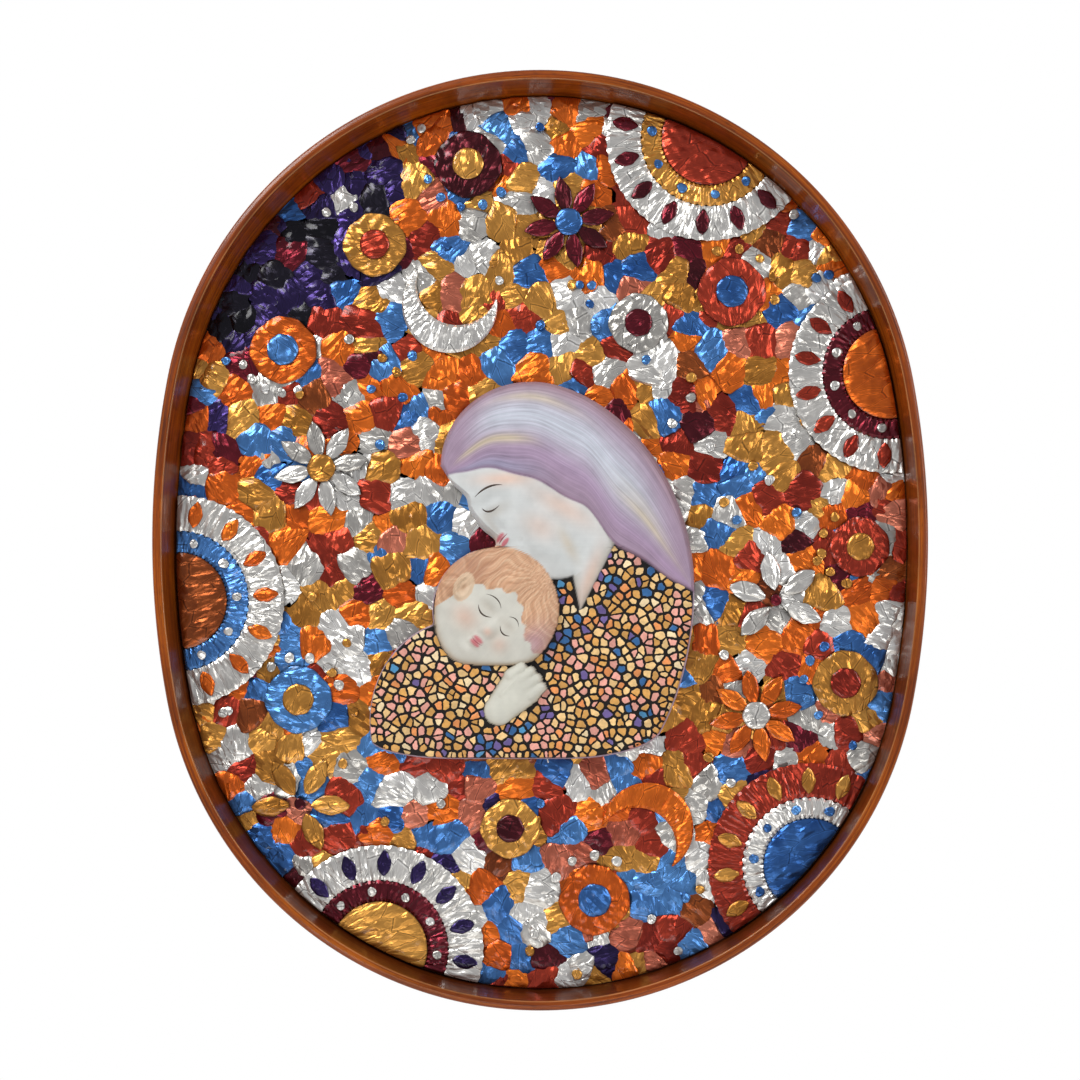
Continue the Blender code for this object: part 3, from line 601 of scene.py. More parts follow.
def foil_mix(x, z):
    """Weights of the foil colours at a point: broad areas of the picture.

    Gold and orange lie round the group, black and violet at the upper left, silver and
    orange at the right, salmon, red and blue at the lower right, silver and blue at the left.
    """
    names = ["gold", "silver", "orange", "red", "maroon", "blue", "violet", "black", "copper",
             "salmon"]
    middle = np.exp(-(((x + 0.005) / 0.135) ** 2 + ((z + 0.01) / 0.170) ** 2) ** 2)
    dark_corner = np.exp(-(((x + z - 0.035) / 0.090) ** 2 + ((x - z + 0.345) / 0.056) ** 2) ** 2)
    top = np.exp(-((x + 0.02) / 0.12) ** 2 - ((z - 0.23) / 0.05) ** 2)
    right = 1 / (1 + np.exp(-(x - 0.10) / 0.02)) * (z > -0.08)
    low_right = 1 / (1 + np.exp(-(x + 0.02) / 0.03)) / (1 + np.exp((z + 0.135) / 0.015))
    low_left = 1 / (1 + np.exp((x + 0.03) / 0.03)) / (1 + np.exp((z + 0.140) / 0.015))
    left = 1 / (1 + np.exp((x + 0.10) / 0.02)) * (z < 0.12) * (z > -0.14)
    base = np.array([0.20, 0.17, 0.18, 0.13, 0.05, 0.12, 0.01, 0.0, 0.07, 0.07])
    areas = [
        (middle * 1.6, [0.42, 0.16, 0.20, 0.09, 0.03, 0.08, 0.0, 0.0, 0.02, 0.0]),
        (dark_corner * 30, [0.0, 0.0, 0.0, 0.04, 0.05, 0.10, 0.36, 0.45, 0.0, 0.0]),
        (top, [0.22, 0.18, 0.26, 0.16, 0.05, 0.10, 0.02, 0.0, 0.02, 0.02]),
        (right, [0.18, 0.24, 0.18, 0.14, 0.06, 0.15, 0.01, 0.0, 0.04, 0.04]),
        (low_right * 2.5, [0.11, 0.19, 0.10, 0.14, 0.04, 0.20, 0.04, 0.0, 0.01, 0.17]),
        (low_left * 2.5, [0.12, 0.28, 0.11, 0.10, 0.05, 0.21, 0.06, 0.0, 0.01, 0.06]),
        (left * 1.5, [0.17, 0.27, 0.12, 0.10, 0.06, 0.24, 0.02, 0.0, 0.0, 0.02]),
    ]
    weights = base[None, :] + sum(share[:, None] * np.array(mix)[None, :] for share, mix in areas)
    return names, weights / weights.sum(axis=1, keepdims=True)


def make_ground():
    """Oval slab of glue between the board and the foil."""
    count = GROUND_CORNERS
    angles, _ = even_angles(count)
    x, z = oval(angles, FIELD_INSET)
    points = np.concatenate([np.stack([x, np.full(count, -depth), z], 1)
                             for depth in (GROUND_TOP, BED_BACK)])
    k = np.arange(count)
    after = (k + 1) % count
    side = np.stack([k, k + count, after + count, after], 1)
    mesh_piece("glue_ground", points, [k[None, :], (k[::-1] + count)[None, :], side],
               matt_glue_ground(), ["foil_bed"])


def bare_sites(centres, reach, spacing):
    """Points of the field, at least the spacing apart, that no piece covers."""
    x, z = np.meshgrid(np.arange(-0.23, 0.23, 0.0023), np.arange(-0.28, 0.28, 0.0023))
    spots = np.stack([x.ravel(), z.ravel()], 1)
    spots = spots[in_field(spots[:, 0], spots[:, 1], FIELD_INSET + 0.0012)
                  & ~covered(spots[:, 0], spots[:, 1])]
    bare = np.ones(len(spots), bool)
    for centre, edge in zip(centres, reach):
        run = spots - centre
        turn = (np.arctan2(run[:, 1], run[:, 0]) % math.tau * len(edge) / math.tau).astype(int)
        limit = np.minimum(edge[turn % len(edge)], edge[(turn + 1) % len(edge)])
        bare &= np.hypot(run[:, 0], run[:, 1]) > limit - 0.0006
    chosen = []
    for spot in spots[bare]:
        if all(math.hypot(*(spot - other)) > spacing for other in chosen):
            chosen.append(spot)
    return np.array(chosen)


def make_flakes():
    """Flakes at the shaken sites, those just outside the rim drawn in; edges overlap by 1 mm.

    Lower flakes fill the places that are left bare, as the first pieces pressed in would,
    in two rounds, the second for what the first leaves.
    """
    dice = np.random.default_rng(41)
    sites = flake_sites(FLAKE_PITCH, dice)
    for _ in range(6):
        astray = ~in_field(sites[:, 0], sites[:, 1], FIELD_INSET + 0.0050)
        close = in_field(sites[:, 0], sites[:, 1], FIELD_INSET - 0.0085)
        sites = np.where((astray & close)[:, None], sites * 0.993, sites)
    wanted = np.flatnonzero(in_field(sites[:, 0], sites[:, 1], FIELD_INSET + 0.0015)
                            & ~covered(sites[:, 0], sites[:, 1]))
    angle = spoke_angles(FLAKE_SPOKES)
    centres = sites[wanted]
    fold = dice.uniform(0, math.pi, len(wanted))
    reach = (cell_reach(sites, wanted, angle) * torn_edge(angle[None, :], fold, dice, 0.8)
             * 1.13 + 0.0013)
    reach = np.minimum(reach, reach_inside(centres, angle[None, :], 0.03, in_flake_field))
    base = dice.uniform(*FLAKE_DEPTHS, len(wanted))
    for source in (dice, np.random.default_rng(43)):
        lower = bare_sites(centres, reach, LOWER_FLAKE_SPACING)
        turned = source.uniform(0, math.pi, len(lower))
        patch = LOWER_FLAKE_REACH * torn_edge(angle[None, :], turned, source, 1.0)
        patch = np.minimum(patch, reach_inside(lower, angle[None, :], 0.03, in_flake_field))
        centres = np.concatenate([centres, lower])
        reach = np.concatenate([reach, patch])
        fold = np.concatenate([fold, turned])
        base = np.concatenate([base, np.full(len(lower), LOWER_FLAKE_DEPTH)])
    names, weights = foil_mix(centres[:, 0], centres[:, 1])
    chance = dice.uniform(0, 1, (len(centres), 1))
    kind = (np.cumsum(weights, axis=1) < chance).sum(axis=1).clip(0, len(names) - 1)
    for place, name in enumerate(names):
        mine = kind == place
        foil_patches("flakes_" + name, name, centres[mine], reach[mine], fold[mine], base[mine],
                     dice, BED_BACK + 0.0010, ["foil_bed"])


# Places of the ornaments and the group, which cover the foil bed behind them
SUNS = {
    "upper": (62, 0.268),
    "right": (13, 0.262),
    "lower": (319, 0.268),
    "bottom": (243, 0.272),
    "left": (184, 0.276),
}
ROUNDELS = {
    "01": (-0.200, 0.845, 0.090),
    "02": (-0.455, 0.665, 0.085),
    "03": (-0.705, 0.430, 0.090),
    "04": (0.265, 0.490, 0.080),
    "05": (0.870, -0.010, 0.080),
    "06": (0.520, 0.560, 0.092),
    "07": (-0.663, -0.352, 0.090),
    "08": (0.145, -0.800, 0.095),
    "09": (-0.085, -0.640, 0.080),
    "10": (0.830, -0.315, 0.088),
}
FIGURE_HEIGHT = 0.232
FIGURE_X = -0.0051
FIGURE_Z = -0.0175


def covered(x, z):
    """True where an ornament or the group hides the bed whole."""
    hidden = np.zeros(np.shape(x), bool)
    for share_x, share_z, share in ROUNDELS.values():
        middle = on_field(share_x, share_z)
        hidden |= np.hypot(x - middle[0], z - middle[1]) < share * HALF_WIDTH - 0.010
    for angle, share in SUNS.values():
        rim_x, rim_z = oval(np.radians(angle), FIELD_INSET + 0.0009)
        hidden |= np.hypot(x - rim_x, z - rim_z) < share * HALF_WIDTH - 0.011
    hidden |= (((x - FIGURE_X - 0.032) / 0.050) ** 2 + ((z - FIGURE_Z) / 0.100) ** 2) < 1
    hidden |= (np.abs(x - FIGURE_X + 0.005) < 0.070) & (np.abs(z - FIGURE_Z + 0.075) < 0.030)
    return hidden


make_ground()
make_flakes()


# ---- Half-suns --------------------------------------------------------------------------
# Five half discs stand on the rim: a domed core, a ring and an outer band of thicker foil.
# The band is gathered into radial pleats, and lens-shaped petals and dots are glued on it.
ORNAMENT_INSET = 0.0102
ORNAMENT_BACK = 0.0091
ORNAMENT_FRONT = 0.0111
RAISED_BACK = 0.0114
CORE_SHARE = 0.46
RING_SHARE = 0.66
PART_GAP = 0.0007
SUN_CORE_DEPTH = 0.0117
SUN_PETALS = 7
SUN_PETAL_HALVES = (0.0085, 0.0044)
SUN_PETAL_DEPTH = 0.0119
RAISED_FOOT = ORNAMENT_FRONT - 0.0008
SUN_DOTS = 5
SUN_DOT_RADIUS = 0.0029
SUN_DOT_DEPTH = 0.0121
SUN_COLOURS = {
    "upper": ("red", "gold", "silver", "maroon", "blue"),
    "right": ("orange", "maroon", "silver", "red", "silver"),
    "lower": ("blue", "silver", "red", "gold", "blue"),
    "bottom": ("gold", "maroon", "silver", "violet", "silver"),
    "left": ("copper", "blue", "silver", "orange", "silver"),
}
FINE_RINGS = np.array([0.08, 0.16, 0.25, 0.34, 0.43, 0.52, 0.61, 0.70, 0.78, 0.85, 0.91, 0.96,
                       1.0])


def broad_creases(a, b, dice):
    """Six zigzags of 6 to 15 mm in random directions, each bent by a slow wave."""
    total = 0
    for _ in range(6):
        slant = draw(dice, a, 0, math.pi)
        along = a * np.cos(slant) + b * np.sin(slant)
        across = b * np.cos(slant) - a * np.sin(slant)
        bend = 0.30 * np.sin(across / draw(dice, a, 0.003, 0.008) + draw(dice, a, 0, 6.3))
        total = total + zigzag(along / draw(dice, a, 0.006, 0.015) + bend
                               + draw(dice, a, 0, 1)) * draw(dice, a, 0.00006, 0.00016)
    return total


def sun_middle(place):
    """Point of the field's rim where a half-sun has its centre."""
    x, z = oval(np.radians(SUNS[place][0]), ORNAMENT_INSET)
    return np.array([float(x), float(z)])


def sun_sweep(place, radius):
    """Directions, from the sun's centre, of the two rim points at each of these radii."""
    centre = sun_middle(place)
    start = math.radians(SUNS[place][0])
    ends = []
    for side in (1, -1):
        low = np.zeros(radius.shape)
        high = low + math.pi / 2
        for _ in range(30):
            middle = (low + high) / 2
            x, z = oval(start + side * middle, ORNAMENT_INSET)
            near = np.hypot(x - centre[0], z - centre[1]) < radius
            low = np.where(near, middle, low)
            high = np.where(near, high, middle)
        x, z = oval(start + side * low, ORNAMENT_INSET)
        ends.append(np.arctan2(z - centre[1], x - centre[0]))
    return ends[0], (ends[1] - ends[0]) % math.tau


def root(value):
    """Square root, with 0 for negative values."""
    return np.sqrt(np.clip(value, 0, None))


def rounded(distance, width):
    """Quarter circle that rises from 0 at the edge to 1 at this distance from it."""
    return root(1 - (1 - np.clip(distance / width, 0, 1)) ** 2)


def hemmed(x, depth, z, foot):
    """Grid whose border drops to the foot, where one face closes it: its points, its faces
    and, for each point, the number of the grid point it stands at."""
    number = np.arange(x.size).reshape(x.shape)
    border = np.concatenate([number[0, :-1], number[:-1, -1], number[-1, :0:-1],
                             number[:0:-1, 0]])
    source = np.concatenate([number.ravel(), border])
    points = np.stack([x, -depth, z], -1).reshape(-1, 3)[source]
    points[x.size:, 1] = -foot
    k = np.arange(len(border))
    after = (k + 1) % len(border)
    side = np.stack([border, k + x.size, after + x.size, border[after]], 1)
    return points, [quads(*x.shape), side, (k[::-1] + x.size)[None, :]], source


def closed_sheet(name, x, depth, z, colour, replaced, pattern, tone):
    """Foil strip on a hemmed grid, turned so that its faces point outwards."""
    points, faces, source = hemmed(x, depth, z, ORNAMENT_BACK)
    corner = points[source[x.size:]]
    ahead = np.roll(corner, -1, axis=0)
    if (corner[:, 0] * ahead[:, 2] - ahead[:, 0] * corner[:, 2]).sum() < 0:
        faces = [face[:, ::-1] for face in faces]
    mesh_piece(name, points, faces, finishes[colour], replaced,
               pattern.reshape(-1, 2)[source], {"tone": np.full(len(points), tone)}, crease=22)


def sun_strip(place, part, inner, outer, colour, dice, rows, columns, pleat, lift, teeth):
    """Half ring of pleated foil: point (s, t) lies at radius inner + s (outer - inner) and at
    share t of the sweep; the pleats are a zigzag of the arc length whose line wanders with
    s, and both edges run out in teeth.
    """
    centre = sun_middle(place)
    s = np.linspace(0, 1, rows)[:, None]
    t = np.linspace(0, 1, columns)[None, :]
    radius = inner + s * (outer - inner)
    first, sweep = sun_sweep(place, radius)
    angle = first + sweep * t
    run = t * sweep.mean() * (inner + outer) / 2
    wander = 0.45 * np.sin(3.1 * s + run * 190) + 0.3 * np.sin(5.3 * s - run * 83 + 2)
    gather = zigzag(run / pleat + wander * 0.55) + 0.6 * zigzag(run / (pleat * 0.58) - wander)
    edge = np.minimum(np.minimum(s, 1 - s) * (outer - inner),
                      np.minimum(t, 1 - t) * sweep * radius)
    depth = ORNAMENT_BACK + 0.0007 + (lift + 0.00028 * gather) * rounded(edge, 0.0018)
    ragged = (radius + np.where(s > 0.99, teeth * (0.2 + zigzag(run / (pleat * 1.1))), 0)
              - np.where(s < 0.01, teeth * (0.8 + zigzag(run / (pleat * 0.8))), 0))
    pattern = np.stack(np.broadcast_arrays(radius, run), -1) + dice.uniform(0, 4, 2)
    closed_sheet(f"sun_{place}_{part}_foil", centre[0] + ragged * np.cos(angle), depth,
                 centre[1] + ragged * np.sin(angle), colour, [f"sun_{place}_{part}"], pattern,
                 dice.uniform(0.25, 0.6))


def lens_reach(angle, length, width):
    """Distance from the middle of a lens |y| = width (1 - (x / length) squared) to its edge."""
    cosine = np.cos(angle) ** 2 + 1e-9
    sine = np.abs(np.sin(angle))
    bulge = width * cosine / length ** 2
    return (np.sqrt(sine ** 2 + 4 * width * bulge) - sine) / (2 * bulge)


def leaf_form(a, b, dice):
    """Folded leaf: a sharp ridge along the middle and slanted veins 2.4 mm apart."""
    veins = zigzag((a - 0.9 * np.abs(b)) / draw(dice, a, 0.0022, 0.0034) + draw(dice, a, 0, 1))
    return -0.11 * np.abs(b) + 0.00009 * veins + broad_creases(a, b, dice) * 0.5


def leaves(name, colour, centres, headings, length, width, base, foot, replaced, slot, dice):
    """Lens-shaped foil leaves of half length and half width about their own middles."""
    angle = spoke_angles(32)
    reach = lens_reach(angle[None, :] - headings[:, None], length, width)
    reach = reach * (1 + 0.03 * np.sin(5 * angle[None, :]
                                       + dice.uniform(0, 6, (len(headings), 1))))
    foil_patches(name, colour, centres, reach, headings, base, dice, foot, replaced,
                 leaf_form, 0.0006, 0.02, np.array([0.22, 0.45, 0.66, 0.84, 0.94, 1.0]))


def button_form(a, b, dice):
    """Shallow dome that falls with the square of the distance, with two or three folds."""
    away = np.hypot(a, b)
    return -9 * away ** 2 + 0.00008 * zigzag(a / 0.0030 + draw(dice, a, 0, 1))


def buttons(name, colour, centres, radius, base, foot, replaced, dice):
    """Round foil dots of 20 corners, a little out of round."""
    angle = spoke_angles(20)
    count = len(centres)
    wobble = 0.06 * np.sin(2 * angle + dice.uniform(0, 6, (count, 1)))
    wobble = wobble + 0.04 * np.sin(3 * angle + dice.uniform(0, 6, (count, 1)))
    reach = radius * dice.uniform(0.90, 1.08, (count, 1)) * (1 + wobble)
    foil_patches(name, colour, centres, reach, dice.uniform(0, 3, count), base, dice, foot,
                 replaced, button_form, 0.0004, 0.06, np.array([0.4, 0.72, 0.92, 1.0]))


def along_sun(place, radius, count):
    """Headings and points spread evenly over a sun's sweep at this radius."""
    first, sweep = sun_sweep(place, np.array([radius]))
    heading = first + sweep * (np.arange(count) + 0.5) / count
    return heading, sun_middle(place) + radius * compass(heading)


def make_suns():
    """Each sun is a domed core, a ring, a band, seven petals on the band and dots between."""
    dice = np.random.default_rng(7)
    angle = spoke_angles(96)
    for place, (turn, share) in SUNS.items():
        radius = share * HALF_WIDTH
        core, ring, band, petal, dot = SUN_COLOURS[place]
        centre = sun_middle(place)
        core_radius = radius * CORE_SHARE
        middle = centre - compass(np.radians([turn])) * core_radius * 0.42
        reach = reach_inside(middle, angle[None, :], 0.1, lambda x, z: in_field(
            x, z, ORNAMENT_INSET) & (np.hypot(x - centre[0], z - centre[1]) < core_radius))
        foil_patches(f"sun_{place}_core_foil", core, middle, reach, 0.3, SUN_CORE_DEPTH, dice,
                     ORNAMENT_BACK, [f"sun_{place}_core"], broad_creases, 0.0012, 0.0,
                     FINE_RINGS)
        sun_strip(place, "ring", core_radius + PART_GAP, radius * RING_SHARE, ring, dice, 9,
                  160, 0.0042, 0.0012, 0.0008)
        sun_strip(place, "band", radius * RING_SHARE + PART_GAP, radius, band, dice, 13, 200,
                  0.0050, 0.0008, 0.0004)
        heading, spots = along_sun(place, radius * (1 + RING_SHARE) / 2, SUN_PETALS)
        leaves(f"sun_{place}_petals", petal, spots, heading, *SUN_PETAL_HALVES,
               SUN_PETAL_DEPTH, RAISED_FOOT, [f"sun_{place}_band"], band, dice)
        _, spots = along_sun(place, radius * (CORE_SHARE + RING_SHARE) / 2, SUN_DOTS)
        buttons(f"sun_{place}_dots", dot, spots, SUN_DOT_RADIUS, SUN_DOT_DEPTH, RAISED_FOOT,
                [f"sun_{place}_ring"], dice)


make_suns()


# ---- Roundels ---------------------------------------------------------------------------
# Ten discs of foil, 38 to 45 mm across, gathered round their edge into radial pleats as a
# bottle capsule is flattened, each with a smaller creased disc of another colour on it.
ROUNDEL_DEPTH = 0.0106
ROUNDEL_CORE_DEPTH = 0.0126
ROUNDEL_COLOURS = {
    "01": ("maroon", "gold"),
    "02": ("gold", "red"),
    "03": ("orange", "blue"),
    "04": ("silver", "maroon"),
    "05": ("red", "gold"),
    "06": ("red", "blue"),
    "07": ("blue", "gold"),
    "08": ("orange", "blue"),
    "09": ("gold", "maroon"),
    "10": ("gold", "red"),
}


def gathered_form(a, b, dice):
    """Radial pleats, a zigzag of the angle that fades to the middle, over broad creases."""
    away = np.hypot(a, b)
    angle = np.arctan2(b, a)
    times = np.round(draw(dice, a, 9, 15))
    bend = 0.5 * np.sin(away * 420 + draw(dice, a, 0, 6)) + 0.3 * np.sin(3 * angle)
    pleats = zigzag(times * angle / math.tau + bend * 0.6)
    ring = np.abs(np.sin(away / 0.0042 + draw(dice, a, 0, 3)))
    return (0.00040 * pleats * np.clip(away / 0.014, 0, 1) + 0.00018 * ring
            + broad_creases(a, b, dice) * 0.8)


def make_roundels():
    """Disc of radius R (1 - 0.02 (1 - cos 4 angle)) with nine blunt corners, under a core."""
    dice = np.random.default_rng(19)
    angle = spoke_angles(88)
    corner = 1 + zigzag(9 * angle / math.tau + 0.4)
    for name, (share_x, share_z, share) in ROUNDELS.items():
        middle = on_field(share_x, share_z)[None, :]
        radius = share * HALF_WIDTH
        disc, core = ROUNDEL_COLOURS[name]
        reach = radius * (1 - 0.02 * (1 - np.cos(4 * angle)) - 0.018 * corner)[None, :]
        foil_patches(f"roundel_{name}_foil", disc, middle, reach, dice.uniform(0, 3, 1),
                     ROUNDEL_DEPTH, dice, ORNAMENT_BACK, [f"roundel_{name}_disc"],
                     gathered_form, 0.0011, 0.0, FINE_RINGS)
        reach = radius * CORE_SHARE * (1 - 0.015 * (1 - np.cos(7 * angle)))[None, ::2]
        foil_patches(f"roundel_{name}_button", core, middle, reach, dice.uniform(0, 3, 1),
                     ROUNDEL_CORE_DEPTH, dice, RAISED_BACK - 0.0011, [f"roundel_{name}_core"],
                     broad_creases, 0.0010, 0.0, FINE_RINGS)


make_roundels()


# ---- Daisies, leaf sprays and crescents -------------------------------------------------
# Eight folded petals round a disc, five leaves on a stalk, and two moons: all cut from foil,
# creased along the middle and glued flat on the bed.
LEAF_DEPTH = 0.0112
DAISY_CORE_DEPTH = 0.0128
BUD_DEPTH = 0.0116
DAISIES = {
    "left": (-0.600, 0.165, 0.125, "silver", "gold"),
    "right": (0.586, -0.387, 0.122, "orange", "silver"),
    "upper": (0.075, 0.715, 0.120, "maroon", "blue"),
}
SPRAYS = {
    "left": (-0.658, -0.585, 0.132, 60, "gold"),
    "right": (0.640, -0.130, 0.130, 100, "silver"),
}
CRESCENTS = {
    "upper": (-0.250, 0.530, 0.125, 250, "silver"),
    "lower": (0.290, -0.640, 0.120, 60, "orange"),
}


def make_daisies():
    """Eight lens leaves whose middles lie at 0.60 of the radius, and a round core."""
    dice = np.random.default_rng(23)
    angle = spoke_angles(48)
    heading = spoke_angles(8) + 0.2
    for name, (share_x, share_z, share, petals, core) in DAISIES.items():
        middle = on_field(share_x, share_z)
        radius = share * HALF_WIDTH
        leaves(f"daisy_{name}_leaves", petals, middle + 0.60 * radius * compass(heading),
               heading, radius * 0.41, radius * 0.185, LEAF_DEPTH, ORNAMENT_BACK,
               [f"daisy_{name}_petals"], petals, dice)
        reach = radius * 0.30 * (1 - 0.02 * (1 - np.cos(6 * angle)))[None, :]
        foil_patches(f"daisy_{name}_button", core, middle[None, :], reach, 0.4,
                     DAISY_CORE_DEPTH, dice, ORNAMENT_BACK, [f"daisy_{name}_core"],
                     broad_creases, 0.0010, 0.0, FINE_RINGS)


def make_sprays():
    """Five lens leaves fanned over 250 degrees from a short stalk, and a bud on the stalk."""
    dice = np.random.default_rng(29)
    for name, (share_x, share_z, share, turn, colour) in SPRAYS.items():
        middle = on_field(share_x, share_z)
        radius = share * HALF_WIDTH
        heading = math.radians(turn) + math.radians(250) * (np.arange(5) / 4 - 0.5)
        leaves(f"spray_{name}_leaves", colour, middle + 0.60 * radius * compass(heading),
               heading, radius * 0.41, radius * 0.20, LEAF_DEPTH, ORNAMENT_BACK,
               [f"leaf_spray_{name}"], colour, dice)
        buttons(f"spray_{name}_bud", "maroon", middle[None, :], 0.0036, BUD_DEPTH,
                ORNAMENT_BACK, [f"leaf_spray_{name}"], dice)


def make_crescents():
    """Moon between two arcs through the same horns: point (s, t) is that share across."""
    dice = np.random.default_rng(31)
    for name, (share_x, share_z, share, turn, colour) in CRESCENTS.items():
        centre = on_field(share_x, share_z)
        radius = share * HALF_WIDTH
        facing = math.radians(turn)
        half = math.radians(118)
        horn = radius * math.sin(half)
        bite = radius * 0.86
        offset = radius * math.cos(half) - math.sqrt(max(bite ** 2 - horn ** 2, 0))
        inner_half = math.atan2(horn, radius * math.cos(half) - offset)
        t = np.linspace(-0.985, 0.985, 90)
        s = np.linspace(0, 1, 11)[:, None]
        outer = (centre + radius * compass(facing + half * t)).T
        inner = (centre + offset * compass(np.array([facing]))
                 + bite * compass(facing + inner_half * t)).T
        x, z = inner[:, None] + s * (outer - inner)[:, None]
        run = t[None, :] * half * radius * 0.9
        width = np.hypot(*(outer - inner))[None, :]
        gather = zigzag(run / 0.0043 + 0.5 * np.sin(4 * s + run * 160)) + 0.7 * zigzag(
            run / 0.0027 - 0.6 * s)
        depth = ORNAMENT_BACK + 0.0005 + (0.0012 + 0.00024 * gather) * rounded(
            np.minimum(s, 1 - s) * width, 0.0022)
        pattern = np.stack(np.broadcast_arrays(s * width, run), -1) + dice.uniform(0, 4, 2)
        closed_sheet(f"crescent_{name}_foil", x, depth, z, colour, [f"crescent_{name}"],
                     pattern, 0.5)


make_daisies()
make_sprays()
make_crescents()


# ---- Scattered dots ---------------------------------------------------------------------
# Small punched dots of foil, 6 mm across, glued over the flakes singly and in short curved
# rows beside the larger ornaments.
DOT_RADIUS = 0.0030
DOT_DEPTH = 0.0099
DOT_FOOT = 0.0076
DOT_ROWS = [
    ("03", 200, 90, "silver"), ("06", -10, 120, "gold"), ("07", 20, 110, "silver"),
    ("01", 200, 120, "blue"), ("08", 60, 120, "silver"), ("10", 120, 110, "blue"),
    ("05", 130, 120, "gold"),
]


def make_dots():
    """Rows of dots on arcs just outside chosen ornaments, and single dots between flakes."""
    dice = np.random.default_rng(37)
    groups = {"silver": [], "blue": [], "gold": []}
    for name, start, sweep, colour in DOT_ROWS:
        share_x, share_z, share = ROUNDELS[name]
        heading = np.radians(start + sweep * np.linspace(0, 1, 5))
        groups[colour].append(on_field(share_x, share_z)
                              + (share * HALF_WIDTH + 0.0052) * compass(heading))
    loose = dice.uniform(-1, 1, (300, 2)) * [FIELD_HALF_WIDTH, FIELD_HALF_HEIGHT]
    clear = in_field(loose[:, 0], loose[:, 1], FIELD_INSET + 0.006) & ~near_ornament(loose)
    loose = loose[clear][:60]
    for place, colour in enumerate(groups):
        spots = np.concatenate(groups[colour] + [loose[place::3]])
        spots = spots[in_field(spots[:, 0], spots[:, 1], FIELD_INSET + 0.004)
                      & ~on_group(spots)]
        buttons("dots_" + colour, colour, spots, DOT_RADIUS, DOT_DEPTH, DOT_FOOT, ["foil_bed"],
                dice)


def near_ornament(spots):
    """True where a point lies within 4 mm of a round ornament, a half-sun or the group."""
    near = on_group(spots)
    rounds = [(on_field(*item[:2]), item[2]) for group in (ROUNDELS, DAISIES, SPRAYS, CRESCENTS)
              for item in group.values()]
    rounds += [(sun_middle(place), share) for place, (_, share) in SUNS.items()]
    for centre, share in rounds:
        away = np.hypot(spots[:, 0] - centre[0], spots[:, 1] - centre[1])
        near |= away < share * HALF_WIDTH + 0.004
    return near


def on_group(spots):
    """True within the carved group's rough outline: an ellipse and the bust below it."""
    x = spots[:, 0] - FIGURE_X
    z = spots[:, 1] - FIGURE_Z
    return ((x / 0.110) ** 2 + (z / 0.124) ** 2 < 1) | ((np.abs(x) < 0.108) & (z < 0)
                                                        & (z > -0.125))


make_dots()


# ---- Carved group -----------------------------------------------------------------------
# A mother bending over her sleeping child, modelled in low relief in fine plaster on a flat
# back, rubbed smooth and painted by hand: pale skin, blush, and long streaks in her hair.
FACE = ((-0.035, 0.642), 0.222, 0.133, -35)
CHILD_HEAD = (-0.099, 0.393)
CHILD_TURN = -44.5
GROUP_ROWS = 330
GROUP_COLUMNS = 270


def corner(height, rise):
    """Distance by which a rounded corner of this rise at the hem pulls the edge in."""
    return 0.200 * (1 - root(1 - np.clip((rise - height) / rise, 0, 1) ** 2))


def group_left(v):
    """Left edge at height v, as shares of the group's height: ellipses of the sleeve, the
    child's head and the front of the hair, and for the mother's profile a slanted line with
    a hollow at the bridge of the nose and another under its tip."""
    sleeve = -0.190 - 0.243 * root(1 - ((v - 0.100) / 0.270) ** 2)
    child = CHILD_HEAD[0] - 0.168 * root(1 - ((v - CHILD_HEAD[1]) / 0.168) ** 2)
    hair = -0.005 - 0.240 * root(1 - ((v - 0.775) / 0.225) ** 2)
    profile = (-0.104 - 0.641 * (v - 0.556) + 0.014 * np.exp(-((v - 0.694) / 0.024) ** 2)
               + 0.018 * np.exp(-((v - 0.580) / 0.021) ** 2))
    head = np.where(v < 0.775, np.where(v < 0.600, np.minimum(child, profile), np.maximum(
        hair, profile)), hair)
    lower = np.where(v < 0.370, np.minimum(sleeve, child), child)
    return np.where(v < 0.500, lower, head) + corner(v, 0.050)


def group_right(v):
    """Right edge: the long hair over the shoulder, then the back of the garment."""
    over = 0.428 * np.clip(1 - ((v - 0.450) / 0.550) ** 2, 0, 1) ** 0.56
    under = 0.428 * root(1 - ((v - 0.450) / 0.620) ** 2)
    return np.where(v > 0.450, over, under) - corner(v, 0.070)


def edge_distance(u, v):
    """Shortest distance to the outline, drawn as 400 straight pieces."""
    level = 0.5 - 0.5 * np.cos(np.linspace(0, math.pi, 200))
    line = np.concatenate([np.stack([group_right(level), level], 1),
                           np.stack([group_left(level), level], 1)[::-1]])
    nearest = np.full(u.shape, 9.0)
    for start, end in zip(line, np.roll(line, -1, axis=0)):
        run = end - start
        share = np.clip(((u - start[0]) * run[0] + (v - start[1]) * run[1])
                        / max(run @ run, 1e-12), 0, 1)
        nearest = np.minimum(nearest, np.hypot(u - start[0] - share * run[0],
                                               v - start[1] - share * run[1]))
    return nearest


def turned(u, v, centre, angle):
    """Distances from a centre along and across a direction given in degrees."""
    cosine = math.cos(math.radians(angle))
    sine = math.sin(math.radians(angle))
    return ((u - centre[0]) * cosine + (v - centre[1]) * sine,
            (v - centre[1]) * cosine - (u - centre[0]) * sine)


def dome(u, v, centre, along, across, angle=0):
    """Half an ellipsoid with these radii: 1 at the middle and 0 outside."""
    p, q = turned(u, v, centre, angle)
    return root(1 - (p / along) ** 2 - (q / across) ** 2)


def swell(u, v, centre, along, across, angle=0):
    """Bell-shaped rise of height 1 with these widths."""
    p, q = turned(u, v, centre, angle)
    return np.exp(-(p / along) ** 2 - (q / across) ** 2)


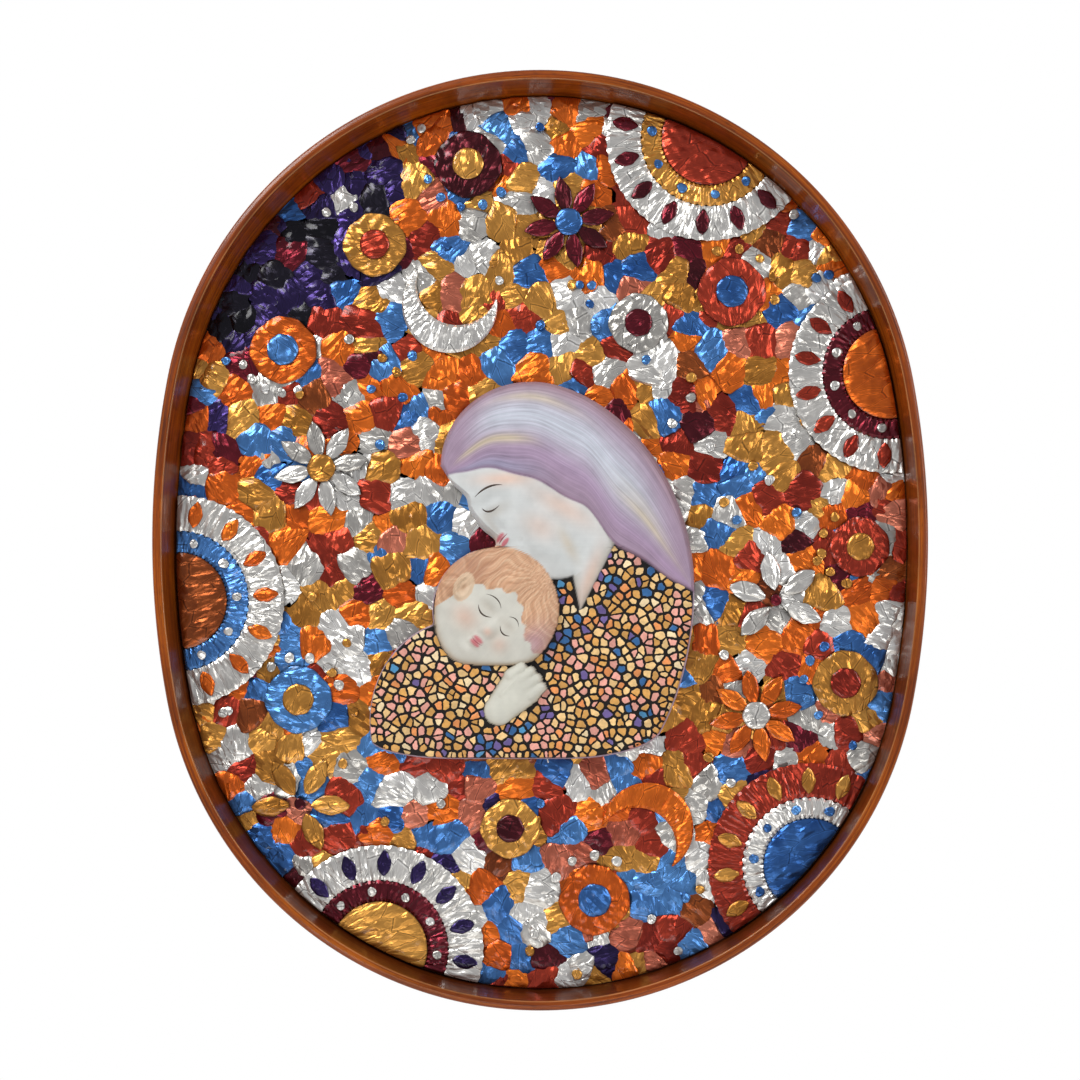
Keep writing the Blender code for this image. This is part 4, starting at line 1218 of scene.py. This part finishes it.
def swells(u, v, rises):
    """Sum of bell-shaped rises, each with its height, place, two widths and angle."""
    return sum(rise * swell(u, v, *form) for rise, *form in rises)


def rod(u, v, start, end, first, last):
    """Distance to a line as a share of a width that changes evenly from its start to its end,
    and the share along the line."""
    run = np.subtract(end, start)
    share = np.clip(((u - start[0]) * run[0] + (v - start[1]) * run[1]) / (run @ run), 0, 1)
    away = np.hypot(u - start[0] - share * run[0], v - start[1] - share * run[1])
    return away / (first + (last - first) * share), share


def smooth(value, width):
    """Soft step from 0 to 1 while the value goes from 0 to the width."""
    share = np.clip(value / width, 0, 1)
    return share ** 2 * (3 - 2 * share)


def soft_max(one, other, width):
    """The larger of two heights, with a fillet of this width where they cross."""
    share = np.clip(0.5 + 0.5 * (one - other) / width, 0, 1)
    return other + (one - other) * share + width * share * (1 - share)


def mother_face(u, v):
    """Face in millimetres: a dome turned 35 degrees with nose, lids, lips and chin of the
    usual proportions as ridges and swells, and the two sides of the nose left soft."""
    height = 7.6 + 7.2 * dome(u, v, *FACE) ** 0.9
    for start, end, first, last, rise, gain in (
            ((-0.160, 0.654), (-0.112, 0.582), 0.013, 0.019, 1.6, 3.0),
            ((-0.168, 0.686), (-0.088, 0.724), 0.014, 0.020, 1.2, -0.6)):
        away, share = rod(u, v, start, end, first, last)
        height = height + (rise + gain * share) * np.exp(-away ** 2)
    return height + swells(u, v, (
        (1.2, (-0.088, 0.582), 0.013, 0.012), (-0.8, (-0.096, 0.569), 0.007, 0.006),
        (-1.7, (-0.122, 0.668), 0.042, 0.022, 28), (1.8, (-0.110, 0.665), 0.027, 0.013, 28),
        (1.5, (-0.084, 0.584), 0.018, 0.0075, 52), (1.4, (-0.071, 0.571), 0.017, 0.008, 52),
        (-1.3, (-0.086, 0.612), 0.030, 0.012, -52), (-0.6, (-0.029, 0.574), 0.009, 0.008),
        (1.8, (0.028, 0.550), 0.045, 0.024, -20), (1.1, (0.0, 0.630), 0.080, 0.050, -36)))


def child_face(side, crown):
    """Sleeping child's features in millimetres over the dome of the head, in the head's own
    directions: closed lids, a short nose, lips, chin and cheeks of the usual proportions."""
    away, share = rod(side, crown, (0.024, 0.000), (0.028, -0.051), 0.010, 0.014)
    return (0.5 + 1.7 * share) * np.exp(-away ** 2) + swells(side, crown, (
        (-1.5, (0.058, -0.010), 0.024, 0.018), (-1.6, (-0.016, -0.010), 0.028, 0.019),
        (1.6, (0.058, -0.016), 0.017, 0.010), (1.8, (-0.016, -0.016), 0.021, 0.011),
        (0.8, (0.014, -0.057), 0.009, 0.009), (0.7, (0.040, -0.056), 0.008, 0.008),
        (1.2, (0.024, -0.084), 0.020, 0.006), (1.2, (0.024, -0.097), 0.016, 0.007),
        (-0.6, (0.001, -0.091), 0.006, 0.008), (-0.5, (0.025, -0.109), 0.014, 0.005),
        (1.4, (0.019, -0.126), 0.024, 0.014), (1.4, (-0.042, -0.066), 0.038, 0.032),
        (0.8, (0.073, -0.056), 0.022, 0.026)))


def hand_form(u, v):
    """Hand in millimetres above the garment's zero: a mitten-like palm with four short
    fingers curled at its upper end and a thumb laid along it; 0 outside."""
    away, _ = rod(u, v, (-0.088, 0.130), (-0.030, 0.192), 0.040, 0.056)
    height = np.where(away < 1, 8.4 + 5.0 * root(1 - away ** 2), 0)
    for k in range(4):
        off = (k - 1.5) * 0.024
        back = 0.006 * abs(k - 1.4)
        away, _ = rod(u, v, (-0.030 + off * 0.72, 0.196 - off * 0.72),
                      (0.006 + off * 0.72 - back, 0.226 - off * 0.70 - back), 0.0190, 0.0150)
        finger = 8.6 + 4.9 * root(1 - away ** 2)
        height = np.where(away < 1, soft_max(height, finger, 0.5), height)
    away, _ = rod(u, v, (-0.078, 0.170), (-0.038, 0.216), 0.016, 0.012)
    return np.maximum(height, np.where(away < 1, 8.6 + 5.0 * root(1 - away ** 2), 0))


def child_head(u, v, part):
    """Child's head in millimetres: dome, features, combed locks and an ear like a ring."""
    side, crown = turned(u, v, CHILD_HEAD, CHILD_TURN)
    jaw = np.where(side > 0, 0.38, 0.12) * smooth(-crown - 0.015, 0.150)
    part["side"], part["crown"] = side, crown
    part["head"] = root(1 - (side / (0.166 * (1 - jaw))) ** 2 - (crown / 0.171) ** 2)
    skull = 8.3 + 8.2 * part["head"] ** 0.85
    child = skull + child_face(side, crown) * smooth(part["head"] - 0.1, 0.2)
    fringe = (0.050 + 0.018 * np.cos(side * 34 - 0.6) - 2.2 * side ** 2
              + 0.006 * np.sin(side * 160))
    part["cap"] = np.maximum(crown - fringe, -(side + 0.100) + 0.25 * (crown + 0.03))
    away = np.hypot(side - 0.035, 0.150 - crown)
    spread = (np.arctan2(side - 0.035, 0.150 - crown) + 0.35 * np.sin(away * 22)
              + 0.10 * np.sin(side * 75 + 1.0) * np.sin(crown * 60))
    part["comb"] = (0.7 * np.sin(spread * 24 + 1.2 * np.sin(away * 60))
                    + 0.6 * np.sin(spread * 53 + 2.0) + 0.5 * np.sin(spread * 97 - away * 40))
    child = child + smooth(part["cap"], 0.010) * (
        1.3 * rounded(part["cap"], 0.03)
        + 0.26 * part["comb"] * smooth(part["cap"] - 0.004, 0.02))
    forward = (side + 0.100 + 0.2 * (crown + 0.012)) / 0.021
    part["ear"] = np.hypot(forward, (crown + 0.012) / 0.031)
    ridge = 2.8 * np.exp(-((part["ear"] - 0.88) / 0.24) ** 2)
    lobe = skull + ridge * (0.65 - 0.40 * np.clip(forward, -1, 1)) + swells(side, crown, (
        (1.0, (-0.100, -0.034), 0.010, 0.010), (0.8, (-0.088, -0.014), 0.005, 0.010)))
    return np.where(part["ear"] < 1.8, soft_max(child, lobe, 0.3), child)


def carve(u, v):
    """Relief in metres and the masks that the paint and the shards use.

    Garment, neck, face, hair, child and hand are laid over one another, each height in
    millimetres merged with those before it, and all fall off at the outline.
    """
    part = {"edge": edge_distance(u, v)}
    fall = np.where(u > -0.110, 0.085, 0.045)
    hairline = (0.765 - fall * (np.sqrt(1 + ((u + 0.110) / 0.130) ** 2) - 1)
                - 0.050 * smooth(u - 0.130, 0.100))
    wave = 0.0035 * np.sin(u * 46 + 0.8) * smooth(u + 0.22, 0.08)
    over = (v - hairline - wave) * 0.82
    height = 7.6 + swells(u, v, (
        (3.6, (0.31, 0.27), 0.13, 0.26, -8), (3.2, (-0.27, 0.15), 0.17, 0.12, 28),
        (2.2, (0.06, 0.05), 0.34, 0.07, 3), (-2.1, (0.10, 0.33), 0.06, 0.12, -30)))
    left_of_neck = (u - 0.093) * 0.979 + (v - 0.556) * 0.202
    right_of_neck = (0.2126 - u) * 0.887 + (v - 0.5625) * 0.461
    part["neck"] = np.where(v < 0.73, np.minimum(left_of_neck, right_of_neck), -1)
    neck = 8.3 + 3.1 * rounded(part["neck"], 0.05) - 0.8 * smooth(0.47 - v, 0.2)
    height = height + (neck - height) * smooth(part["neck"] + 0.003, 0.006)
    part["face"] = dome(u, v, *FACE)
    height = np.where(part["face"] > 0, soft_max(height, mother_face(u, v), 0.9), height)
    across = over / (np.abs(over) + part["edge"] + 1e-6)
    part["over"], part["across"] = over, across
    locks = np.sin(across * 34 + 2.2 * np.sin(u * 7 + 1.0)) + 0.5 * np.sin(across * 83 + u * 9)
    hair = (9.0 + 7.2 * rounded(over, 0.11) * rounded(part["edge"], 0.17) ** 0.9
            + 1.2 * swell(u, v, (-0.02, 0.86), 0.17, 0.07, -15)
            + 0.9 * np.exp(-(over / 0.012) ** 2)
            + 0.14 * locks * smooth(over - 0.02, 0.06) * rounded(part["edge"], 0.08))
    height = height + (hair - height) * smooth(over + 0.003, 0.006)
    child = child_head(u, v, part)
    height = np.where(part["head"] > 0, soft_max(height, child, 0.6), height)
    part["hand"] = hand_form(u, v)
    height = np.where(part["hand"] > 0, soft_max(height, part["hand"], 0.4), height)
    rim = np.where((part["face"] > 0) & (part["head"] <= 0), 0.050, 0.085)
    height = np.minimum(height, 2.0 + 18 * rounded(part["edge"], rim))
    part["height"] = height / 1000
    part["cloth"] = np.all([part[key] <= 0 for key in ("neck", "face", "over", "head", "hand")],
                           axis=0)
    return part


def bell(distance, width):
    """Bell-shaped share: 1 at distance 0."""
    return np.exp(-(distance / width) ** 2)


def paint_of(u, v, part):
    """Colour of the paint at each point, and how much its brush streaks show.

    Each layer is a colour and its share at each point, laid on in the order of the list.
    Some layers are painted shade and painted highlight that follow the relief: in the
    hollows of the faces and the ear, under the jaw, at rounded edges, on the hand and on
    the child's locks.
    """
    side, crown, across = part["side"], part["crown"], part["across"]
    neck = smooth(part["neck"] + 0.003, 0.006)
    skin = np.maximum(neck, smooth(part["face"], 0.25))
    hair = smooth(part["over"] + 0.003, 0.006)
    child = part["head"] > 0
    capped = child & (part["cap"] > 0)
    lobe = child & (part["ear"] < 1.25)
    hand = part["hand"] > 0
    streak = 0.5 + 0.5 * np.sin(across * 41 + 2.0 * np.sin(u * 6.0 + 0.5))
    fine = 0.5 + 0.5 * np.sin(across * 120 + 3.0 * np.sin(u * 9.0))
    light = bell(across - 0.58, 0.21) * smooth(u + 0.20, 0.12) * smooth(0.40 - u, 0.16)
    gold = (bell(across - 0.34, 0.06) * smooth(0.05 - u, 0.12) * smooth(u + 0.22, 0.06)
            + 0.8 * bell(across - 0.80, 0.07) * bell(u - 0.01, 0.10)
            + 0.9 * bell(across - 0.50, 0.09) * bell(u - 0.30, 0.07))
    layers = [
        ("B9A5B4", part["cloth"] & (part["edge"] < 0.0050)),
        ("CDD0CE", skin),
        # Painted shade: grey where the neck rounds off towards its edges.
        ("BDBBB2", skin * 0.8 * smooth(0.030 - part["neck"], 0.03) * (part["face"] <= 0)),
        ("E6B79A", skin * swells(u, v, (
            (0.45, (0.080, 0.665), 0.085, 0.026, -30), (0.6, (-0.075, 0.738), 0.070, 0.018, 2),
            (0.35, (0.020, 0.612), 0.045, 0.030, -30), (0.6, (-0.100, 0.572), 0.020, 0.014),
            (0.5, (0.150, 0.480), 0.018, 0.080, -20)))),
        # Painted shade: warm grey under the jaw where it meets the neck.
        ("C9B9A0", skin * 0.6 * swell(u, v, (0.095, 0.565), 0.045, 0.014, -62)),
        # Painted shade in the eye socket and beside the nose.
        ("A39684", skin * swells(u, v, ((0.40, (-0.098, 0.652), 0.040, 0.016, 28),
                                        (0.38, (-0.100, 0.610), 0.030, 0.010, -52)))),
        *(("C4606C", skin * 0.9 * smooth(swell(u, v, lip, 0.019, 0.0072, 52) - 0.35, 0.35))
          for lip in ((-0.084, 0.584), (-0.071, 0.571))),
        ("A28CA0", hair),
        ("959FBB", hair * 0.6 * bell(across - 0.10, 0.10) * smooth(0.10 - u, 0.20)),
        ("A98FAC", hair * 0.8 * bell(across - 0.26, 0.13)),
        ("C6CCD6", hair * light * (0.82 + 0.15 * fine)),
        ("CFC0A0", hair * gold * (0.45 + 0.4 * streak)),
        ("9C7F86", hair * 0.85 * smooth(across - 0.82, 0.16)),
        ("8E6E88", hair * 0.6 * bell(part["over"], 0.006)),
        ("CFCDC2", child),
        ("E2A98E", child * swells(side, crown, (
            (0.45, (-0.042, -0.066), 0.034, 0.026), (0.35, (0.073, -0.056), 0.020, 0.020),
            (0.5, (0.028, -0.052), 0.012, 0.010)))),
        # Warm brown patina and painted shade towards the outline of the child's head.
        ("AF9574", child * 0.8 * smooth(0.50 - part["head"], 0.45)),
        *(("C7626C", child * 0.9 * smooth(swell(side, crown, lip, 0.019, 0.0075) - 0.35, 0.35))
          for lip in ((0.024, -0.084), (0.024, -0.097))),
        # Painted shade under the brows, beside the nose and under the lower lip.
        ("A39684", child * swells(side, crown, (
            (0.35, (-0.016, -0.004), 0.026, 0.012), (0.35, (0.058, -0.004), 0.022, 0.011),
            (0.30, (0.046, -0.040), 0.008, 0.022), (0.30, (0.024, -0.108), 0.016, 0.005)))),
        ("D3A684", capped),
        # Strand colours, darker in the carved grooves as painted shade and lighter on the crests
        # as painted highlight.
        ("A97A58", capped * 0.45 * smooth(-part["comb"], 1.2)),
        ("E8C6A2", capped * 0.7 * smooth(part["comb"] - 0.2, 1.0)),
        ("A9745A", capped * 0.55 * swell(side, crown, (-0.110, 0.030), 0.050, 0.060)),
        ("A98AA6", capped * 0.6 * swell(side, crown, (0.135, 0.000), 0.040, 0.060)),
        ("D9BD9E", lobe * 0.9),
        # Painted shade in the hollow of the ear.
        ("9A6A4A", lobe * 0.5 * bell(part["ear"], 0.30)),
        ("D0CFC2", hand),
        # Painted shade on the low parts of the hand: its rim and the grooves between the fingers.
        ("A89C82", hand * 0.7 * smooth(11.4 - part["hand"], 2.4)),
    ]
    colour = np.zeros(u.shape + (3,)) + linear("120C09")[:3]
    for code, share in layers:
        colour = colour + (linear(code)[:3] - colour) * np.clip(share * 1.0, 0, 1)[..., None]
    return colour, np.where(hair > 0.5, 0.75, np.where(capped, 0.6, 0.06))


def rubbed_painted_plaster():
    """Fine casting plaster under thin paint: dull, with brush streaks 0.5 mm wide that follow
    the pattern's second direction, faint clouding, and tiny pits and scratches."""
    made, tree, shader = new_finish("rubbed_painted_plaster")
    flow = add(tree, "UVMap", uv_map="pattern").outputs["UV"]
    place = object_place(tree)
    amount = mark(tree, "brush")
    brush = noise(tree, stretched(tree, flow, (22.0, 900.0, 1.0)), 1.0, 4.0, Roughness=0.65)
    drawn = calculated(tree, "MULTIPLY", in_range(tree, brush, 0.30, 0.70, -0.30, 0.30), amount)
    cloud = in_range(tree, noise(tree, place, 85.0, 4.0), 0.3, 0.7, 0.90, 1.06)
    height = calculated(tree, "MULTIPLY_ADD", brush, amount, noise(tree, place, 1500.0, 2.0))
    wire(tree, shader, {
        "Base Color": brightness(tree, mark(tree, "paint", "Color"),
                                 calculated(tree, "ADD", drawn, cloud)),
        "Roughness": 0.55, "Specular IOR Level": 0.3,
        "Normal": bumps(tree, height, 0.22, 0.00035)})
    return made


plaster = rubbed_painted_plaster()


def eased(count, strength):
    """Shares from 0 to 1 that lie closer together at both ends."""
    share = np.linspace(0, 1, count)
    return share - strength * np.sin(math.tau * share) / math.tau


def on_panel(u, v):
    """Panel coordinates x and z of a point of the group."""
    return FIGURE_X + u * FIGURE_HEIGHT, FIGURE_Z + (v - 0.5) * FIGURE_HEIGHT


def make_group():
    """Grid stretched between the left and right edges, with its border dropped to the back."""
    v = eased(GROUP_ROWS, 0.15)[:, None]
    left = group_left(v)
    u = left + (group_right(v) - left) * eased(GROUP_COLUMNS, 0.30)[None, :]
    v = np.broadcast_to(v, u.shape)
    part = carve(u, v)
    colour, brush = paint_of(u, v, part)
    x, z = on_panel(u, v)
    flow = np.stack([u * FIGURE_HEIGHT, np.where(
        part["over"] > 0, part["across"] * 0.055, np.where(
            part["head"] > 0, part["side"] * FIGURE_HEIGHT, v * FIGURE_HEIGHT))], -1)
    points, faces, source = hemmed(x, ORNAMENT_BACK + part["height"], z, ORNAMENT_BACK)
    shade = np.concatenate([colour, np.ones(u.shape + (1,))], -1).reshape(-1, 4)
    mesh_piece("group_relief", points, faces, plaster, ["figure_group"],
               flow.reshape(-1, 2)[source],
               {"paint": shade[source], "brush": brush.ravel()[source]}, crease=60)


def stroke(points, width, steps=22):
    """Thin painted line along a bent path through three points, widest at its middle.

    The path is the parabola through them; its section is a flat rhombus that is half sunk.
    """
    t = np.linspace(0, 1, steps)[:, None]
    start, middle, end = (np.asarray(point, float) for point in points)
    pull = 2 * middle - (start + end) / 2
    path = (1 - t) ** 2 * start + 2 * t * (1 - t) * pull + t ** 2 * end
    run = np.gradient(path, axis=0)
    run = run / np.hypot(run[:, 0], run[:, 1])[:, None]
    across = np.stack([-run[:, 1], run[:, 0]], 1) * width * np.sin(math.pi * (0.04 + 0.92 * t))
    ring = np.stack([path - across, path, path + across, path], 1)
    height = carve(ring[..., 0], ring[..., 1])["height"] + np.array([0, 0.00016, 0, -0.0004])
    x, z = on_panel(ring[..., 0], ring[..., 1])
    return np.stack([x, -ORNAMENT_BACK - height, z], -1)


def strokes(name, code, lines):
    """All painted lines of one colour as one piece."""
    rings = np.stack([stroke(points, width) for points, width in lines])
    count, steps = rings.shape[:2]
    ends = np.array([[3, 2, 1, 0], 4 * steps - 4 + np.arange(4)])
    faces = repeated((quads(steps, 4, False, True), ends), count, 4 * steps)
    points = rings.reshape(-1, 3)
    mesh_piece(name, points, faces, plaster, ["figure_group"], points[:, ::2],
               {"paint": np.tile(linear(code), (len(points), 1)),
                "brush": np.full(len(points), 0.2)})


def in_head(side, crown):
    """Point of the group from the child's own directions across and up the head."""
    turn = math.radians(CHILD_TURN)
    return (CHILD_HEAD[0] + side * math.cos(turn) - crown * math.sin(turn),
            CHILD_HEAD[1] + side * math.sin(turn) + crown * math.cos(turn))


make_group()
strokes("group_brow_and_lid_lines", "4B3E36", [
    (((-0.150, 0.690), (-0.116, 0.716), (-0.078, 0.722)), 0.0028),
    (((-0.132, 0.661), (-0.112, 0.652), (-0.086, 0.668)), 0.0026),
    ((in_head(-0.040, -0.018), in_head(-0.016, -0.029), in_head(0.008, -0.018)), 0.0024),
    ((in_head(0.040, -0.018), in_head(0.058, -0.028), in_head(0.076, -0.020)), 0.0022),
    ((in_head(-0.044, 0.016), in_head(-0.016, 0.026), in_head(0.010, 0.016)), 0.0016),
    ((in_head(0.040, 0.015), in_head(0.058, 0.023), in_head(0.076, 0.014)), 0.0014),
])
strokes("group_lip_lines", "9C3F50", [
    (((-0.087, 0.567), (-0.078, 0.580), (-0.065, 0.595)), 0.0018),
    ((in_head(0.006, -0.090), in_head(0.024, -0.092), in_head(0.042, -0.089)), 0.0016),
])


# ---- Garment shards ---------------------------------------------------------------------
# The garment is set with about 560 chips of painted eggshell, 4 to 5 mm across, in black
# mastic with gaps of under a millimetre; ochre and salmon, with clusters of blue.
SHARD_PITCH = 0.0056
SHARD_SPOKES = 16
SHARD_COLOURS = ("CC9850", "E2BC80", "DD9C8C", "DB8C50", "E8D0A4", "2E5F92", "66568C", "4583AC")


def glazed_eggshell():
    """Painted and varnished eggshell chips: smooth, softly glossy, each chip its own colour
    with faint clouding and a slightly pebbled face."""
    made, tree, shader = new_finish("glazed_eggshell")
    place = object_place(tree)
    cloud = in_range(tree, noise(tree, place, 420.0, 3.0), 0.3, 0.7, 0.84, 1.12)
    wire(tree, shader, {
        "Base Color": brightness(tree, mark(tree, "paint", "Color"), cloud),
        "Roughness": 0.42, "Normal": bumps(tree, noise(tree, place, 1300.0, 1.0), 0.15, 0.0003)})
    return made


def off_panel(x, z):
    """Group coordinates u and v of a point of the panel."""
    return (x - FIGURE_X) / FIGURE_HEIGHT, (z - FIGURE_Z) / FIGURE_HEIGHT + 0.5


def on_cloth(x, z):
    """True on the garment, at least 1 mm from its edge."""
    u, v = off_panel(x, z)
    inside = (v > 0.004) & (v < 0.72)
    part = carve(np.where(inside, u, 0), np.where(inside, v, 0.3))
    return part["cloth"] & (part["edge"] > 0.0048) & inside & (u > group_left(
        np.clip(v, 0, 1))) & (u < group_right(np.clip(v, 0, 1)))


def cool_share(u, v):
    """Chance of a blue or violet chip: clusters beside the neck and scattered over the lap."""
    return 0.055 + swells(u, v, (
        (1.0, (0.085, 0.480), 0.050, 0.030, 80), (0.95, (0.075, 0.325), 0.110, 0.030, 40),
        (0.5, (0.260, 0.270), 0.030, 0.050, 20), (0.6, (-0.020, 0.095), 0.080, 0.025, 25),
        (0.5, (0.270, 0.125), 0.060, 0.030, 10), (0.5, (-0.110, 0.030), 0.050, 0.020),
        (0.5, (0.325, 0.500), 0.030, 0.020), (0.5, (0.200, 0.500), 0.020, 0.020)))


def make_shards():
    """Cells round shaken points, shrunk by 0.5 mm and cut off where the garment ends.

    A chip is a flat patch that follows the relief, half a millimetre proud, with a bevelled
    rim. Sites just outside the garment are drawn in, so no wide gap is left at its edge.
    """
    dice = np.random.default_rng(53)
    sites = shaken_grid(np.arange(-24, 26), np.arange(-24, 26), SHARD_PITCH, 0.88, 0.40, dice)
    sites = sites + [FIGURE_X, FIGURE_Z]
    for _ in range(5):
        u, v = off_panel(sites[:, 0], sites[:, 1])
        level = np.clip(v, 0, 1)
        left, right = group_left(level), group_right(level)
        astray = (v < 0.010) | (u < left + 0.010) | (u > right - 0.010)
        close = (v > -0.016) & (u > left - 0.014) & (u < right + 0.014)
        step = (sites - [FIGURE_X, FIGURE_Z - 0.030]) * 0.008
        sites = sites - step * (astray & close & (v < 0.52))[:, None]
    wanted = np.flatnonzero(on_cloth(sites[:, 0], sites[:, 1]))
    angle = spoke_angles(SHARD_SPOKES)
    centres = sites[wanted]
    reach = cell_reach(sites, wanted, angle) * dice.uniform(0.88, 1.0, (len(wanted), 1))
    reach = reach * dice.uniform(0.87, 1.04, reach.shape) - 0.00048
    reach = np.minimum(reach, reach_inside(centres, angle[None, :], 0.006, on_cloth) - 0.0002)
    reach = np.maximum(reach, 0.0003)
    kept = reach.mean(axis=1) > 0.0009
    reach, centres, count = reach[kept], centres[kept], kept.sum()
    share = np.array([0.0, 0.84, 1.0, 1.0])[None, :, None]
    lift = np.array([0.00052, 0.00050, 0.00030, -0.0004])[None, :, None]
    dx = share * reach[:, None, :] * np.cos(angle)
    dz = share * reach[:, None, :] * np.sin(angle)
    x = centres[:, 0, None, None] + dx
    z = centres[:, 1, None, None] + dz
    height = carve(*off_panel(x, z))["height"]
    tilt = dice.uniform(-0.05, 0.05, (2, count, 1, 1))
    depth = ORNAMENT_BACK + height + lift + tilt[0] * dx + tilt[1] * dz
    body = np.stack([x, -depth, z], -1)
    points = np.concatenate([body[:, :1, 0], body[:, 1:].reshape(count, -1, 3)], axis=1)
    cool = dice.uniform(0, 1, count) < cool_share(*off_panel(centres[:, 0], centres[:, 1]))
    pick = np.where(cool, dice.choice([5, 6, 7], count, p=[0.5, 0.38, 0.12]),
                    dice.choice([0, 1, 2, 3, 4], count, p=[0.28, 0.25, 0.28, 0.10, 0.09]))
    shade = np.array([linear(code) for code in SHARD_COLOURS])[pick]
    shade[:, :3] *= dice.uniform(0.90, 1.26, (count, 1))
    mesh_piece("garment_shards", points.reshape(-1, 3), patch_faces(count, SHARD_SPOKES, 3),
               glazed_eggshell(), ["figure_group"], points.reshape(-1, 3)[:, ::2],
               {"paint": np.repeat(shade, points.shape[1], axis=0)}, crease=30)


make_shards()


# ---- Studio -----------------------------------------------------------------------------
# The panel hangs before white paper; a pale floor lies below the picture's edge, and soft
# boxes above left, at the right, low in front and behind give the foil white highlights.
CAMERA_DISTANCE = 1.05
CAMERA_DROP = 0.070
CAMERA_SIDE = 0.045
PICTURE_HEIGHT = 0.653
SENSOR_WIDTH = 36
FLOOR_LEVEL = -0.56


def paper_sky():
    """World light: white behind the panel, mid grey behind the camera for the foil to mirror."""
    world = bpy.data.worlds.new("paper_sky")
    bpy.context.scene.world = world
    world.use_nodes = True
    tree = world.node_tree
    parts = add(tree, "SeparateXYZ", {"Vector": add(tree, "TexCoord").outputs["Generated"]})
    tone = ramp(tree, in_range(tree, parts.outputs["Y"], -0.3, 0.4),
                (0.0, (0.30, 0.30, 0.32, 1)), (1.0, (1, 1, 1, 1)))
    wire(tree, tree.nodes["Background"], {"Color": tone, "Strength": 1.0})


def soft_box(name, place, width, height, power):
    """Rectangular area light that faces the panel's middle."""
    lamp = bpy.data.lights.new(name, "AREA")
    lamp.shape = "RECTANGLE"
    lamp.size = width
    lamp.size_y = height
    lamp.energy = power
    box = bpy.data.objects.new(name, lamp)
    box.location = place
    box.rotation_euler = (-Vector(place)).to_track_quat("-Z", "Y").to_euler()
    bpy.context.scene.collection.objects.link(box)


def make_floor():
    """Square of pale paper as a grid of points, level, well below the panel."""
    side = np.linspace(-0.6, 0.6, 13)
    x, y = np.meshgrid(side, side)
    points = np.stack([x, y, np.full(x.shape, FLOOR_LEVEL)], -1).reshape(-1, 3)
    mesh = bpy.data.meshes.new("pale_floor")
    mesh.from_pydata(points.tolist(), [], quads(*x.shape).tolist())
    made, tree, shader = new_finish("pale_paper")
    tooth = noise(tree, object_place(tree), 400.0, 3.0)
    wire(tree, shader, {"Base Color": linear("EDEBE7"), "Roughness": 0.9,
                        "Normal": bumps(tree, tooth, 0.1, 0.0002)})
    mesh.materials.append(made)
    floor = bpy.data.objects.new("pale_floor", mesh)
    bpy.context.scene.collection.objects.link(floor)


def make_camera():
    """Level camera a little below and right of the middle; the shift centres the panel."""
    lens = bpy.data.cameras.new("camera")
    lens.sensor_width = SENSOR_WIDTH
    lens.lens = SENSOR_WIDTH * CAMERA_DISTANCE / PICTURE_HEIGHT
    lens.shift_y = CAMERA_DROP / PICTURE_HEIGHT
    lens.shift_x = -CAMERA_SIDE / PICTURE_HEIGHT
    camera = bpy.data.objects.new("camera", lens)
    camera.location = (CAMERA_SIDE, -CAMERA_DISTANCE - FRAME_DEPTH, -CAMERA_DROP)
    camera.rotation_euler = (math.pi / 2, 0, 0)
    bpy.context.scene.collection.objects.link(camera)
    bpy.context.scene.camera = camera


paper_sky()
soft_box("box_upper_left", (-1.0, -1.2, 1.2), 0.8, 0.6, 23)
soft_box("box_right", (1.35, -0.9, 0.5), 0.4, 1.1, 11)
soft_box("box_low", (-0.3, -1.4, -1.0), 0.9, 0.35, 5)
soft_box("box_back", (-0.5, 1.6, 0.7), 0.8, 0.8, 8)
make_floor()
make_camera()
bpy.context.scene.view_settings.view_transform = "Standard"
